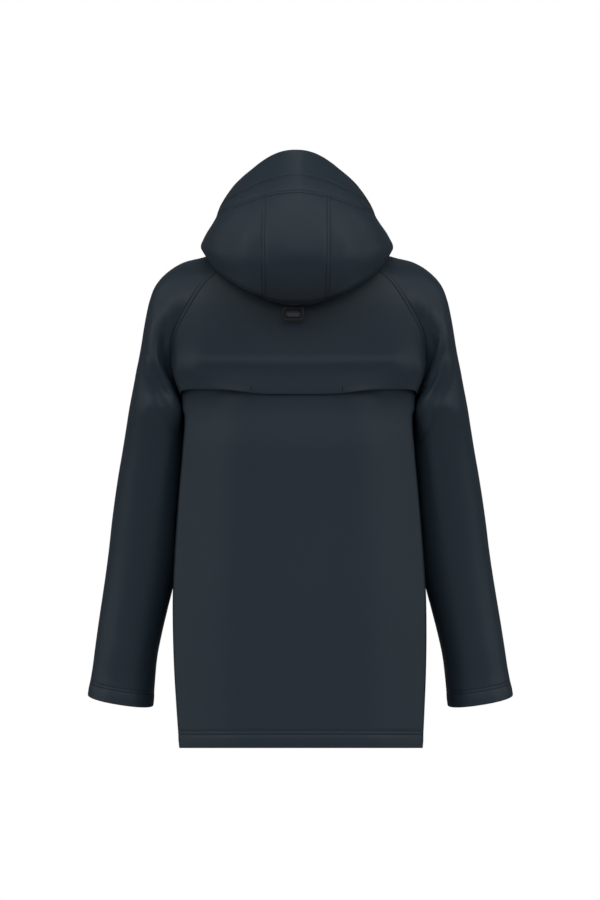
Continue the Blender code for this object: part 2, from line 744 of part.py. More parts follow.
def ribbon(name, path, width, thickness, centre_x, surface):
    """A strap: a flat band of the given width that follows a path of (y, z)."""
    path = np.array(path, float)
    ways = np.gradient(path, axis=0)
    ways /= np.linalg.norm(ways, axis=1, keepdims=True)
    sides = np.stack([-ways[:, 1], ways[:, 0]], axis=1) * thickness / 2
    rings = []
    for (y, z), (side_y, side_z) in zip(path, sides):
        for sign_x, sign in ((-1, -1), (1, -1), (1, 1), (-1, 1)):
            rings.append((centre_x + sign_x * width / 2, y + sign * side_y, z + sign * side_z))
    faces = []
    for i in range(len(path) - 1):
        for j in range(4):
            a, b = 4 * i + j, 4 * i + (j + 1) % 4
            faces.append((a, b, b + 4, a + 4))
    faces.append((3, 2, 1, 0))
    last = 4 * (len(path) - 1)
    faces.append((last, last + 1, last + 2, last + 3))
    made = solid(name, rings, faces, surface)
    facing_out(made)
    return made


def facing_out(obj):
    work = bmesh.new()
    work.from_mesh(obj.data)
    bmesh.ops.recalc_face_normals(work, faces=work.faces)
    work.to_mesh(obj.data)
    work.free()


def strap_path():
    """From under the hood, behind the slider's top bar, over its middle bar and back up."""
    over = SLIDER_Y + MIDDLE_BAR_RADIUS + 0.4 + STRAP_THICK / 2
    behind = SLIDER_Y - SLIDER_DEPTH / 2 - 0.5 - STRAP_THICK / 2
    top = SLIDER_Z + SLIDER_HEIGHT / 2
    points = (
        (behind + 9.3, top + 11.0),
        (behind + 3.8, top + 6.5),
        (behind + 0.2, top + 0.8),
        (behind, top - 3.6),
        (behind + 2.2, SLIDER_Z + 4.4),
        (over, SLIDER_Z),
        (behind + 2.2, SLIDER_Z - 4.4),
        (behind - 0.6, SLIDER_Z - 6.2),
        (behind - 3.0, SLIDER_Z - 4.0),
        (behind - 3.0, SLIDER_Z + 7.0),
    )
    return through(np.arange(10), points, np.linspace(0, 9, 28))


def rounded_rectangle(width, height, radius, corner_points=5):
    """Points round a rectangle with round corners."""
    points = []
    for quarter in range(4):
        sign_x = 1 if quarter in (0, 3) else -1
        sign_z = 1 if quarter in (0, 1) else -1
        centre = np.array([sign_x * (width / 2 - radius), sign_z * (height / 2 - radius)])
        for k in range(corner_points):
            turn = math.pi / 2 * (quarter + k / (corner_points - 1))
            points.append(centre + radius * np.array([math.cos(turn), math.sin(turn)]))
    return np.array(points)


def build_slider(surface):
    """A frame with a middle bar, all one piece."""
    window = (SLIDER_WIDTH - 2 * SLIDER_BAR, SLIDER_HEIGHT - 2 * SLIDER_BAR)
    outer = rounded_rectangle(SLIDER_WIDTH, SLIDER_HEIGHT, SLIDER_CORNER)
    inner = rounded_rectangle(*window, SLIDER_WINDOW_CORNER)
    profile = ((outer, -0.5), (outer * SLIDER_DRAFT, 0.5), (inner, 0.5), (inner, -0.5))
    points = []
    for outline, side in profile:
        for x, z in outline:
            points.append((STRAP_X + x, SLIDER_Y + side * SLIDER_DEPTH, SLIDER_Z + z))
    count = len(outer)
    faces = []
    for ring in range(4):
        for k in range(count):
            a, b = ring * count + k, ring * count + (k + 1) % count
            c, d = (b + count) % (4 * count), (a + count) % (4 * count)
            faces.append((a, b, c, d))
    frame = solid("hood_slider", points, faces, surface)
    facing_out(frame)
    bpy.ops.mesh.primitive_cylinder_add(
        vertices=12,
        radius=MIDDLE_BAR_RADIUS * MM,
        depth=(SLIDER_WIDTH - SLIDER_BAR) * MM,
        location=(STRAP_X * MM, SLIDER_Y * MM, SLIDER_Z * MM),
        rotation=(0, math.pi / 2, 0),
    )
    bar = bpy.context.object
    bar.name = "slider_middle_bar"
    bar.hide_render = True
    bar.display_type = "WIRE"
    union = frame.modifiers.new("Middle bar", "BOOLEAN")
    union.operation = "UNION"
    union.object = bar


def build_snaps(front, surface):
    """Round caps down the centre front, on the left front's outer face."""
    centre = np.array([np.interp(0, row[::-1, 0], range(len(row))[::-1]) for row in front])
    line = np.array(
        [
            [np.interp(place, range(len(row)), axis) for axis in row.T]
            for row, place in zip(front, centre)
        ]
    )
    for index in range(SNAP_COUNT):
        z = SNAP_TOP_Z - index * SNAP_STEP
        y = np.interp(-z, -line[:, 2], line[:, 1])
        below = np.interp(-z + SNAP_SLOPE_SPAN, -line[:, 2], line[:, 1])
        above = np.interp(-z - SNAP_SLOPE_SPAN, -line[:, 2], line[:, 1])
        lean = math.atan2(below - above, 2 * SNAP_SLOPE_SPAN)
        turns = np.arange(SNAP_SIDES) * math.tau / SNAP_SIDES
        points = []
        for radius, height in SNAP_DOME:
            out = height + SNAP_GAP
            for turn in turns:
                up = radius * math.sin(turn)
                points.append(
                    (
                        radius * math.cos(turn),
                        y - out * math.cos(lean) - up * math.sin(lean),
                        z + up * math.cos(lean) - out * math.sin(lean),
                    )
                )
        faces = []
        for ring in range(len(SNAP_DOME) - 1):
            for k in range(SNAP_SIDES):
                a = ring * SNAP_SIDES + k
                b = ring * SNAP_SIDES + (k + 1) % SNAP_SIDES
                faces.append((a, b, b + SNAP_SIDES, a + SNAP_SIDES))
        faces.append(tuple(range(SNAP_SIDES))[::-1])
        faces.append(tuple(SNAP_SIDES * (len(SNAP_DOME) - 1) + k for k in range(SNAP_SIDES)))
        facing_out(solid(f"snap_{index + 1}", points, faces, surface))


def main():
    for obj in list(bpy.data.objects):
        bpy.data.objects.remove(obj)
    shell = material("coated_cloth", (0.018, 0.026, 0.034), 0.5)
    hood_shell = material("coated_cloth_hood", (0.02, 0.028, 0.037), 0.5)
    webbing = material("strap_cloth", (0.02, 0.028, 0.036), 0.6)
    slider = material("slider_plastic", (0.012, 0.011, 0.011), 0.45)
    metal = material("snap_metal", (0.03, 0.034, 0.04), 0.35, 0.8)

    sleeve = sleeve_surface(SLEEVE_AT)
    sleeve = folded(sleeve, grid_normals(sleeve, UNDERARM_ROW))
    sleeve_normals = grid_normals(sleeve, UNDERARM_ROW)
    back_normals = grid_normals(back_surface(BODY_AT))
    front_normals = grid_normals(front_surface(BODY_AT)[:, ::-1])
    back_seam = joined(sleeve_normals[:UNDERARM_ROW, 0], back_normals[:UNDERARM_ROW, -1])
    front_seam = joined(sleeve_normals[:UNDERARM_ROW, -1], front_normals[:UNDERARM_ROW, 0])
    sleeve_normals[:UNDERARM_ROW, 0] = back_seam
    sleeve_normals[:UNDERARM_ROW, -1] = front_seam

    build_back(shell, back_seam)
    front = build_fronts(shell, front_seam)
    build_sleeves(shell, sleeve, sleeve_normals)
    build_hood(hood_shell)
    ribbon("hood_strap", strap_path(), STRAP_WIDTH, STRAP_THICK, STRAP_X, webbing)
    build_slider(slider)
    build_snaps(front, metal)


main()
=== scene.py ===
import math

import bmesh
import bpy
import numpy as np
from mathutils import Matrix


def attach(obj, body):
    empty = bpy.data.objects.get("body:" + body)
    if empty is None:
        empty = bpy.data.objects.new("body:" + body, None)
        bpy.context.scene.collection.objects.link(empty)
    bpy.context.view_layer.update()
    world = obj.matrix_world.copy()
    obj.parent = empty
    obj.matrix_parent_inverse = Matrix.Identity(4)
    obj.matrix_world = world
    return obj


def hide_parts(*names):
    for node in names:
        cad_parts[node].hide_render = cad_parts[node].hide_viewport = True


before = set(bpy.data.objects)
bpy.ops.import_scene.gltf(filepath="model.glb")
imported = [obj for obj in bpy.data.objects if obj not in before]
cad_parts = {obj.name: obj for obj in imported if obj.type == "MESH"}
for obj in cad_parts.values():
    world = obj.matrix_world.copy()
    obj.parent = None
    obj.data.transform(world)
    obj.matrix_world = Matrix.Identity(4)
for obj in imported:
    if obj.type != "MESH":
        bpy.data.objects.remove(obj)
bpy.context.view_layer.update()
bpy.ops.object.select_all(action="DESELECT")
print("frame loaded:", len(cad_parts), "solids")

mm = 0.001
wallThickness = 1.6 * mm  # of the solids' walls
shellThickness = 1.0 * mm  # of the shown cloth
readingStep = 1.6 * mm  # how finely a solid's smooth face is read
neverClosed = 10**6  # past the last row: the piece has an open edge all the way down
mergeWithin = 1e-5  # points nearer than this are one, in metres
rimTolerance = 2e-6
leastSine = 0.55  # where rows meet an edge slantwise, its groove widens no further
foldDetail = 8  # points read for each given point of a fold's line
roughnessReach = 0.05  # how far the grain moves the roughness each way


# Small helpers.

def eased(value):
    value = np.clip(value, 0, 1)
    return value * value * (3 - 2 * value)


def bell(away, width):  # 1 at the middle, dying out over the width
    return np.exp(-((away / width) ** 2))


def through(knots, values, at):  # a smooth curve through the given values
    slopes = np.gradient(values, knots, axis=0)
    k = np.clip(np.searchsorted(knots, at, side="right") - 1, 0, len(knots) - 2)
    wide = (-1,) + (1,) * (values.ndim - 1)
    step = (knots[k + 1] - knots[k]).reshape(wide)
    part = (at - knots[k]).reshape(wide) / step
    rest = 1 - part
    ends = rest**2 * (1 + 2 * part) * values[k] + part**2 * (1 + 2 * rest) * values[k + 1]
    return ends + part * rest * step * (rest * slopes[k] - part * slopes[k + 1])


def newObject(name, points, faces, material):
    mesh = bpy.data.meshes.new(name)
    mesh.from_pydata(points.tolist(), [], faces)
    mesh.materials.append(material)
    piece = bpy.data.objects.new(name, mesh)
    bpy.context.scene.collection.objects.link(piece)
    return piece


def activate(piece):
    bpy.ops.object.select_all(action="DESELECT")
    piece.select_set(True)
    bpy.context.view_layer.objects.active = piece


def applied(piece, kind, name, **settings):  # adds a modifier, sets it and applies it
    activate(piece)
    modifier = piece.modifiers.new(name, kind)
    for key, value in settings.items():
        setattr(modifier, key, value)
    bpy.ops.object.modifier_apply(modifier=modifier.name)


# Materials.

def groupSocket(group, name, way, kind, value=None):
    socket = group.interface.new_socket(name=name, in_out=way, socket_type=kind)
    if value is not None:
        socket.default_value = value


def buildGrain():  # fine uneven grain and slow mottling, shared by all the finishes
    group = bpy.data.node_groups.new("clothGrain", "ShaderNodeTree")
    groupSocket(group, "Vector", "INPUT", "NodeSocketVector")
    groupSocket(group, "Fine Scale", "INPUT", "NodeSocketFloat", 1400)
    groupSocket(group, "Slow Scale", "INPUT", "NodeSocketFloat", 14)
    groupSocket(group, "Grain", "OUTPUT", "NodeSocketFloat")
    groupSocket(group, "Mottle", "OUTPUT", "NodeSocketFloat")
    nodes, links = group.nodes, group.links
    enter, leave = nodes.new("NodeGroupInput"), nodes.new("NodeGroupOutput")
    fine, slow = nodes.new("ShaderNodeTexNoise"), nodes.new("ShaderNodeTexNoise")
    fine.inputs["Detail"].default_value = 2
    slow.inputs["Detail"].default_value = 3
    for noise, scale, out in ((fine, "Fine Scale", "Grain"), (slow, "Slow Scale", "Mottle")):
        links.new(enter.outputs["Vector"], noise.inputs["Vector"])
        links.new(enter.outputs[scale], noise.inputs["Scale"])
        links.new(noise.outputs["Fac"], leave.inputs[out])
    return group


grainGroup = buildGrain()


def finish(name, look):
    made = bpy.data.materials.new(name)
    made.use_nodes = True
    nodes, links = made.node_tree.nodes, made.node_tree.links
    shader = nodes["Principled BSDF"]
    shader.inputs["Specular IOR Level"].default_value = look.get("specular", 0.5)
    shader.inputs["Metallic"].default_value = look.get("metallic", 0)
    coords = nodes.new("ShaderNodeTexCoord")
    grain = nodes.new("ShaderNodeGroup")
    grain.node_tree = grainGroup
    grain.inputs["Fine Scale"].default_value = look["grainScale"]
    grain.inputs["Slow Scale"].default_value = look["mottleScale"]
    links.new(coords.outputs["Object"], grain.inputs["Vector"])
    tint = nodes.new("ShaderNodeMapRange")
    tint.inputs["To Min"].default_value = 1 - look["unevenness"]
    tint.inputs["To Max"].default_value = 1 + look["unevenness"]
    tint.inputs["From Min"].default_value = 0.3
    tint.inputs["From Max"].default_value = 0.7
    links.new(grain.outputs["Mottle"], tint.inputs["Value"])
    colour = nodes.new("ShaderNodeVectorMath")
    colour.operation = "SCALE"
    colour.inputs[0].default_value = look["colour"]
    if look.get("paintedShadeStrength"):  # painted shade from the seam attribute darkens the colour in the grooves of seams and stitched lines, in gaps under loose edges and where the hood turns under
        seam = nodes.new("ShaderNodeAttribute")
        seam.attribute_name = "seam"
        dark = nodes.new("ShaderNodeMath")
        dark.operation = "MULTIPLY_ADD"
        links.new(seam.outputs["Fac"], dark.inputs[0])
        dark.inputs[1].default_value = -look["paintedShadeStrength"]
        dark.inputs[2].default_value = 1
        both = nodes.new("ShaderNodeMath")
        both.operation = "MULTIPLY"
        links.new(tint.outputs["Result"], both.inputs[0])
        links.new(dark.outputs["Value"], both.inputs[1])
        links.new(both.outputs["Value"], colour.inputs["Scale"])
    else:
        links.new(tint.outputs["Result"], colour.inputs["Scale"])
    links.new(colour.outputs["Vector"], shader.inputs["Base Color"])
    rough = nodes.new("ShaderNodeMapRange")
    rough.inputs["To Min"].default_value = look["roughness"] - roughnessReach
    rough.inputs["To Max"].default_value = look["roughness"] + roughnessReach
    links.new(grain.outputs["Grain"], rough.inputs["Value"])
    links.new(rough.outputs["Result"], shader.inputs["Roughness"])
    height = grain.outputs["Grain"]
    if look.get("weave"):  # threads over and under each other, in the cloth's own directions
        waves = []
        for direction in ("X", "Y"):
            wave = nodes.new("ShaderNodeTexWave")
            wave.bands_direction = direction
            wave.inputs["Scale"].default_value = look["weave"]
            links.new(coords.outputs["UV"], wave.inputs["Vector"])
            waves.append(wave.outputs["Fac"])
        crossing = nodes.new("ShaderNodeMath")
        crossing.operation = "MULTIPLY"
        links.new(waves[0], crossing.inputs[0])
        links.new(waves[1], crossing.inputs[1])
        height = crossing.outputs["Value"]
    bump = nodes.new("ShaderNodeBump")
    bump.inputs["Strength"].default_value = look["bump"]
    bump.inputs["Distance"].default_value = look["bumpDepth"]
    links.new(height, bump.inputs["Height"])
    links.new(bump.outputs["Normal"], shader.inputs["Normal"])
    return made


coatedCloth = finish("coatedCloth", {
    "colour": (0.0213, 0.0333, 0.0452), "roughness": 0.42, "specular": 0.2, "grainScale": 900,
    "mottleScale": 9, "unevenness": 0.012, "bump": 0.12, "bumpDepth": 0.0001, "paintedShadeStrength": 0.5,
})
clothBacking = finish("clothBacking", {
    "colour": (0.017, 0.022, 0.028), "roughness": 0.85, "specular": 0.2, "grainScale": 1500,
    "mottleScale": 20, "unevenness": 0.06, "bump": 0.5, "bumpDepth": 0.0003, "weave": 320,
})
seamThread = finish("seamThread", {
    "colour": (0.0095, 0.015, 0.0205), "roughness": 0.8, "specular": 0.08, "grainScale": 2500,
    "mottleScale": 60, "unevenness": 0.08, "bump": 0.3, "bumpDepth": 0.0001,
})
# painted light: the strap is the coat's own cloth, its colour made lighter to stand in for the
# light it catches under the hood
strapClothPaintedLight = finish("strapClothPaintedLight", {
    "colour": (0.031, 0.046, 0.06), "roughness": 0.4, "specular": 0.4, "grainScale": 900,
    "mottleScale": 30, "unevenness": 0.03, "bump": 0.12, "bumpDepth": 0.0001,
})
sliderPlastic = finish("sliderPlastic", {
    "colour": (0.0098, 0.0087, 0.0084), "roughness": 0.45, "specular": 0.35, "grainScale": 1800,
    "mottleScale": 70, "unevenness": 0.06, "bump": 0.12, "bumpDepth": 0.0001,
})
snapMetal = finish("snapMetal", {
    "colour": (0.03, 0.036, 0.043), "roughness": 0.34, "specular": 0.5, "metallic": 0.7,
    "grainScale": 2200, "mottleScale": 80, "unevenness": 0.08, "bump": 0.08, "bumpDepth": 0.0001,
})
print("materials made")


# From a solid's outer face to an even grid of cloth.

def outerFace(name):  # the outer face of a wall, as points and triangles
    work = bmesh.new()
    work.from_mesh(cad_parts[name].data)
    bmesh.ops.remove_doubles(work, verts=work.verts, dist=mergeWithin)
    rim = []
    for face in work.faces:  # a rim's faces have edges as long as the wall is thick
        if min(abs(edge.calc_length() - wallThickness) for edge in face.edges) < rimTolerance:
            rim.append(face)
    bmesh.ops.delete(work, geom=rim, context="FACES")
    work.verts.index_update()
    group = {}
    sizes = []
    for face in work.faces:
        if face in group:
            continue
        group[face] = len(sizes)
        sizes.append(0)
        waiting = [face]
        while waiting:
            current = waiting.pop()
            sizes[-1] += current.calc_area()
            for edge in current.edges:
                for other in edge.link_faces:
                    if other not in group:
                        group[other] = group[current]
                        waiting.append(other)
    largest = int(np.argmax(sizes))
    points = np.array([v.co for v in work.verts])
    triangles = [[v.index for v in f.verts] for f in work.faces if group[f] == largest]
    work.free()
    return points, triangles


def cadGrid(cut):  # rows and columns of a wall's outer face, walked from one corner
    points, triangles = outerFace(cut["node"])
    across = {}
    near = {}
    for a, b, c in triangles:
        across[a, b], across[b, c], across[c, a] = c, a, b
        for start, end in ((a, b), (b, c), (c, a)):
            near.setdefault(start, set()).add(end)
            near.setdefault(end, set()).add(start)
    after = {a: b for a, b in across if (b, a) not in across}
    before = {b: a for a, b in after.items()}
    border = np.array(sorted(after))
    fromCorner = np.linalg.norm(points[border] - np.array(cut["start"]) * mm, axis=1)
    start = int(border[np.argmin(fromCorner)])
    row = [start]
    while len(row) < cut["columns"]:
        row.append(after[row[-1]])
    rows = [row]
    closedFrom = cut.get("closedFrom", neverClosed)
    while (row[0], row[1]) in across:
        turn, down = 0, None
        if len(rows) - 1 < closedFrom:
            down = [before[row[0]]]
        else:  # under the arm no edge leads down, but a point with one neighbour below does
            known = set(row) | set(rows[-2])
            below = [near[point] - known for point in row[:-1]]
            turn = next(k for k, found in enumerate(below) if len(found) == 1)
            row = row[turn:-1] + row[: turn + 1]
            down = [min(below[turn])]
        for left, right in zip(row, row[1:]):
            third = across[left, right]
            down.append(across[down[-1], right] if third == down[-1] else third)
        if turn:
            back = len(down) - 1 - turn
            down = down[back:-1] + down[: back + 1]
        rows.append(down)
        row = down
    return points[np.array(rows)]


def denseSurface(grid, closedFrom, step):  # a smooth surface through the grid, finely sampled
    def spread(values, padded):
        gaps = np.linalg.norm(np.diff(values, axis=0), axis=2).mean(axis=1)
        knots = np.concatenate([[0], np.cumsum(gaps)])
        count = max(2, int(round((knots[-padded - 1] - knots[padded]) / step)))
        return through(knots, values, np.linspace(knots[padded], knots[-padded - 1], count + 1))

    downwards = spread(grid, 0)
    gaps = np.linalg.norm(np.diff(grid, axis=0), axis=2).mean(axis=1)
    knots = np.concatenate([[0], np.cumsum(gaps)])
    closingKnot = knots[min(closedFrom, len(knots) - 1)] - 1e-9
    closedAt = np.linspace(0, knots[-1], len(downwards)) >= closingKnot
    before = 2 * downwards[:, :1] - downwards[:, 1:2]
    beyond = 2 * downwards[:, -1:] - downwards[:, -2:-1]
    if closedFrom < len(knots):  # round a closed sleeve the columns go on past the seam
        before[closedAt] = downwards[closedAt, -2:-1]
        beyond[closedAt] = downwards[closedAt, 1:2]
    padded = np.concatenate([before, downwards, beyond], axis=1)
    return np.swapaxes(spread(np.swapaxes(padded, 0, 1), 1), 0, 1), knots


def arcLengths(lines):  # along axis 0
    steps = np.linalg.norm(np.diff(lines[..., :3], axis=0), axis=-1)
    return np.concatenate([np.zeros((1,) + steps.shape[1:]), np.cumsum(steps, axis=0)])


def resampled(lines, positions):  # each line along axis 0 read at its own positions
    lengths = arcLengths(lines)
    result = np.empty(positions.shape + lines.shape[2:])
    for k in range(lines.shape[1]):
        for axis in range(lines.shape[2]):
            result[:, k, axis] = np.interp(positions[:, k], lengths[:, k], lines[:, k, axis])
    return result


# puts even places between the anchor places, and finds the anchors again
def filled(anchors, step):
    shape = np.broadcast_shapes(*[np.shape(place) for place in anchors.values()])
    anchors = {name: np.broadcast_to(place, shape).astype(float) for name, place in anchors.items()}
    places, index = [], {}
    for name in sorted(anchors, key=lambda name: anchors[name].mean()):
        here = anchors[name]
        if places:
            last = places[-1]
            count = max(1, int(round((here - last).mean() / step)))
            for k in range(1, count):
                places.append(last + (here - last) * k / count)
        index[name] = len(places)
        places.append(here)
    return np.array(places), index


rollPlaces = (0.0, 0.45, 1.0, 1.9)  # how an edge or a stitched line is divided, in mm
linePlaces = (-1.3, -0.55, 0.0, 0.55, 1.3)


def anchorsFor(length, first, last, lines, scaleFirst, scaleLast):
    anchors = {}
    for place in rollPlaces:
        anchors[f"first{place}"] = place * mm * scaleFirst
        anchors[f"last{place}"] = length - place * mm * scaleLast
    for name, side, offset in [line[:3] for line in lines]:
        for place in linePlaces:
            if side == first:
                anchors[f"{name}{place}"] = (offset + place) * mm * scaleFirst
            if side == last:
                anchors[f"{name}{place}"] = length - (offset + place) * mm * scaleLast
    return anchors


pressing = {  # sizes in mm
    "narrowAbove": -300,  # a panel is held to its "narrow" half width only above this height
    "ahead": 6, "handle": 0.5,  # how the flat leaves the round body
    "bunching": 1.4,  # over 1 puts more columns next to the crisp fold
    "bendSteps": 16, "rounding": (-1, -0.6, -0.2, 0.2, 0.6, 1),
}


def pressedEdges(points, press):  # flattens a panel out to a crisp fold down each side, in mm
    rows, columns = points.shape[:2]
    shaped = points / mm
    for row in range(rows):
        strength = eased((press["top"] - shaped[row, :, 2].mean()) / press["fadeOver"])
        for side in (1, -1):
            order = np.arange(columns // 2, columns if side > 0 else -1, side)
            line = shaped[row, order][:, :2] * (side, 1)
            arc = np.concatenate([[0], np.cumsum(np.linalg.norm(np.diff(line, axis=0), axis=1))])
            widest = int(np.argmax(line[:, 0]))
            start = np.interp(press["from"], line[: widest + 1, 0], arc[: widest + 1])
            begin = np.array([press["from"], np.interp(start, arc, line[:, 1])])
            limit = math.inf
            if shaped[row, :, 2].mean() > pressing["narrowAbove"]:
                limit = press.get("narrow", math.inf)
            corner = np.array([min(line[widest, 0] - press["inset"], limit), 0.0])
            corner[1] = begin[1] - press["slope"] * (corner[0] - begin[0])
            end = float(np.interp(press["side"] - corner[1], -line[:, 1], arc))
            finish = np.array([np.interp(end, arc, line[:, k]) for k in (0, 1)])
            onward = start + pressing["ahead"]
            ahead = np.array([np.interp(onward, arc, line[:, k]) for k in (0, 1)]) - begin
            ahead *= np.linalg.norm(corner - begin) * pressing["handle"] / np.linalg.norm(ahead)
            bend = np.linspace(0, 1, pressing["bendSteps"])[:, None]
            handle = begin + ahead
            path = (1 - bend) ** 2 * begin + 2 * bend * (1 - bend) * handle + bend**2 * corner
            path = np.concatenate([path, [finish]])
            knots = np.concatenate([[0], np.cumsum(np.linalg.norm(np.diff(path, axis=0), axis=1))])
            share = knots[-2] / knots[-1]
            place = np.clip((arc - start) / max(end - start, 1e-6), 0, 1)
            upTo = 1 - np.clip(place / share, 0, 1)
            past = np.clip((place - share) / (1 - share), 0, 1)
            before = share * (1 - upTo ** pressing["bunching"])
            after = share + (1 - share) * past ** pressing["bunching"]
            at = np.where(place < share, before, after) * knots[-1]
            reach = np.minimum(press["round"], np.minimum(at, knots[-1] - at))
            moved = sum(
                np.stack([np.interp(at + reach * shift, knots, path[:, k]) for k in (0, 1)], axis=1)
                for shift in pressing["rounding"]
            ) / len(pressing["rounding"])
            inside = ((arc > start) & (arc < end))[:, None]
            line = np.where(inside, line + strength * (moved - line), line)
            shaped[row, order, :2] = line * (side, 1)
    return shaped * mm


def clothSurface(cut):
    grid = cadGrid(cut)
    closedFrom = cut.get("closedFrom", neverClosed)
    dense, knots = denseSurface(grid, closedFrom, readingStep)
    lines = cut.get("lines", [])
    lengths = arcLengths(dense)
    total = lengths[-1]
    anchors = anchorsFor(total, "top", "bottom", lines, 1, 1)
    denseKnots = np.linspace(0, knots[-1], len(dense))
    for row in cut.get("keepRows", []):  # rows of the solid that a line or a closing lies on
        at = np.array([np.interp(knots[row], denseKnots, length) for length in lengths.T])
        for place in (linePlaces if row in cut.get("rowLines", []) else (0.0,)):
            anchors[f"row{row}{place}"] = at + place * mm
    places, rowIndex = filled(anchors, cut["step"] * mm)
    channels = np.concatenate([dense, lengths[..., None], (total - lengths)[..., None]], axis=2)
    rows = resampled(channels, places)

    across = np.swapaxes(rows, 0, 1)  # now the same from side to side
    lengths = arcLengths(across)
    total = lengths[-1]
    edgeRun = np.gradient(rows[:, :, :3], axis=0)

    def slope(side):  # how squarely the rows meet the side edge
        run = edgeRun[:, side]
        way = rows[:, 1, :3] - rows[:, 0, :3] if side == 0 else rows[:, -1, :3] - rows[:, -2, :3]
        run = run / np.linalg.norm(run, axis=1, keepdims=True)
        way = way / np.linalg.norm(way, axis=1, keepdims=True)
        return np.clip(np.linalg.norm(np.cross(run, way), axis=1), leastSine, 1)

    firstSine, lastSine = slope(0), slope(-1)
    anchors = anchorsFor(total, "left", "right", lines, 1 / firstSine, 1 / lastSine)
    places, columnIndex = filled(anchors, cut["step"] * mm)
    columns = resampled(across, places)
    surface = np.swapaxes(columns, 0, 1)
    edges = {
        "top": surface[..., 3],
        "bottom": surface[..., 4],
        "left": (places * firstSine).T,
        "right": ((total - places) * lastSine).T,
    }
    points = surface[..., :3]
    if cut.get("pressed"):
        points = pressedEdges(points, cut["pressed"])
    down = np.gradient(points, axis=0)
    over = np.gradient(points, axis=1)
    closed = np.zeros(len(points), bool)
    if "closedFrom" in cut:
        first = rowIndex[f"row{closedFrom}0.0"]
        closed[first:] = True
        ends = (points[closed, 1] - points[closed, -2]) / 2
        over[closed, 0] = ends
        over[closed, -1] = ends
        points[closed, -1] = points[closed, 0]
    normals = np.cross(over, down)
    normals /= np.linalg.norm(normals, axis=2, keepdims=True)
    return {"points": points, "normals": normals, "edges": edges, "closed": closed,
            "rowIndex": rowIndex, "columnIndex": columnIndex}


# Cloth pieces.

fadeRows = 3  # over how many rows a seam or a line fades in and out
rowsBeyond = 10  # far enough past the first or last row for no fade there
rowLineWidth = 1.5  # a line on a row of the solid is this much wider than the others


def rowPart(surface, fromRow, toRow):  # 1 between two kept rows, fading over a few rows
    count = surface["points"].shape[0]
    rowIndex = surface["rowIndex"]
    first = -rowsBeyond if fromRow is None else rowIndex[f"row{fromRow}0.0"]
    last = count + rowsBeyond if toRow is None else rowIndex[f"row{toRow}0.0"]
    place = np.arange(count)
    fadeIn = eased((place - first + fadeRows) / fadeRows)
    fadeOut = eased((last - place + fadeRows) / fadeRows)
    return (fadeIn * fadeOut)[:, None]


def lineFades(cut, surface):  # each stitched line with its distance and where it runs
    for line in cut.get("lines", []):
        name, side, offset = line[:3]
        fade = rowPart(surface, *line[3:5]) if len(line) > 3 else 1
        yield surface["edges"][side] / mm - offset, fade, offset
    for row in cut.get("rowLines", []):
        lengths = arcLengths(surface["points"])
        away = lengths - lengths[surface["rowIndex"][f"row{row}0.0"]]
        yield away / mm / rowLineWidth, 1, None


turningAway = 0.4  # how slowly a fold dies out where the cloth turns from the viewer


def foldHeight(fold, surface):  # a soft ridge or trough along a line, seen square on
    points = surface["points"] / mm
    line = np.array(fold["line"], float)
    knots = np.arange(len(line))
    line = through(knots, line, np.linspace(0, len(line) - 1, foldDetail * len(line)))
    flat = points[..., (0, 2)]
    nearest = np.full(flat.shape[:2], np.inf)
    aside = np.zeros(flat.shape[:2])
    part = np.zeros(flat.shape[:2])
    for k, (start, end) in enumerate(zip(line, line[1:])):
        run = end - start
        size = max(run @ run, 1e-9)
        share = np.clip(((flat - start) @ run) / size, 0, 1)
        gap = flat - start - share[..., None] * run
        distance = np.linalg.norm(gap, axis=-1)
        closer = distance < nearest
        nearest = np.where(closer, distance, nearest)
        side = run[0] * gap[..., 1] - run[1] * gap[..., 0]
        aside = np.where(closer, np.sign(side), aside)
        part = np.where(closer, (k + share) / (len(line) - 1), part)
    left, right = fold["spread"]
    spread = np.where(aside > 0, left, right)
    shape = bell(nearest, spread)
    start, end = fold.get("fade", (0.15, 0.15))
    starting = eased(part / max(start, 1e-6) + (start == 0))
    ending = eased((1 - part) / max(end, 1e-6) + (end == 0))
    facing = surface["normals"][..., 1] * fold.get("facing", 1)
    turned = eased((facing - fold.get("least", -0.1)) / turningAway)
    return fold["height"] * shape * (starting * ending) * turned


edgeRelief = {"seam": (0.8, 0.9), "folded": (0.45, 0.0)}  # depth in mm, and strength of the painted shade in the groove
relief = {  # widths and depths in mm
    "edge": 0.8, "edgeShade": 0.9, "armShade": 0.75,  # widths of the groove and of its painted shade at an edge
    "line": 0.65, "lineShade": 0.7, "lineDepth": 0.5, "swell": 0.2,  # at a stitched line, with its painted shade
    "foldsStop": 4, "armFoldsStop": 5,  # how far from a seam the folds die out
    "puffPower": 1.5,  # how squarely a swollen panel rises from its seams
}


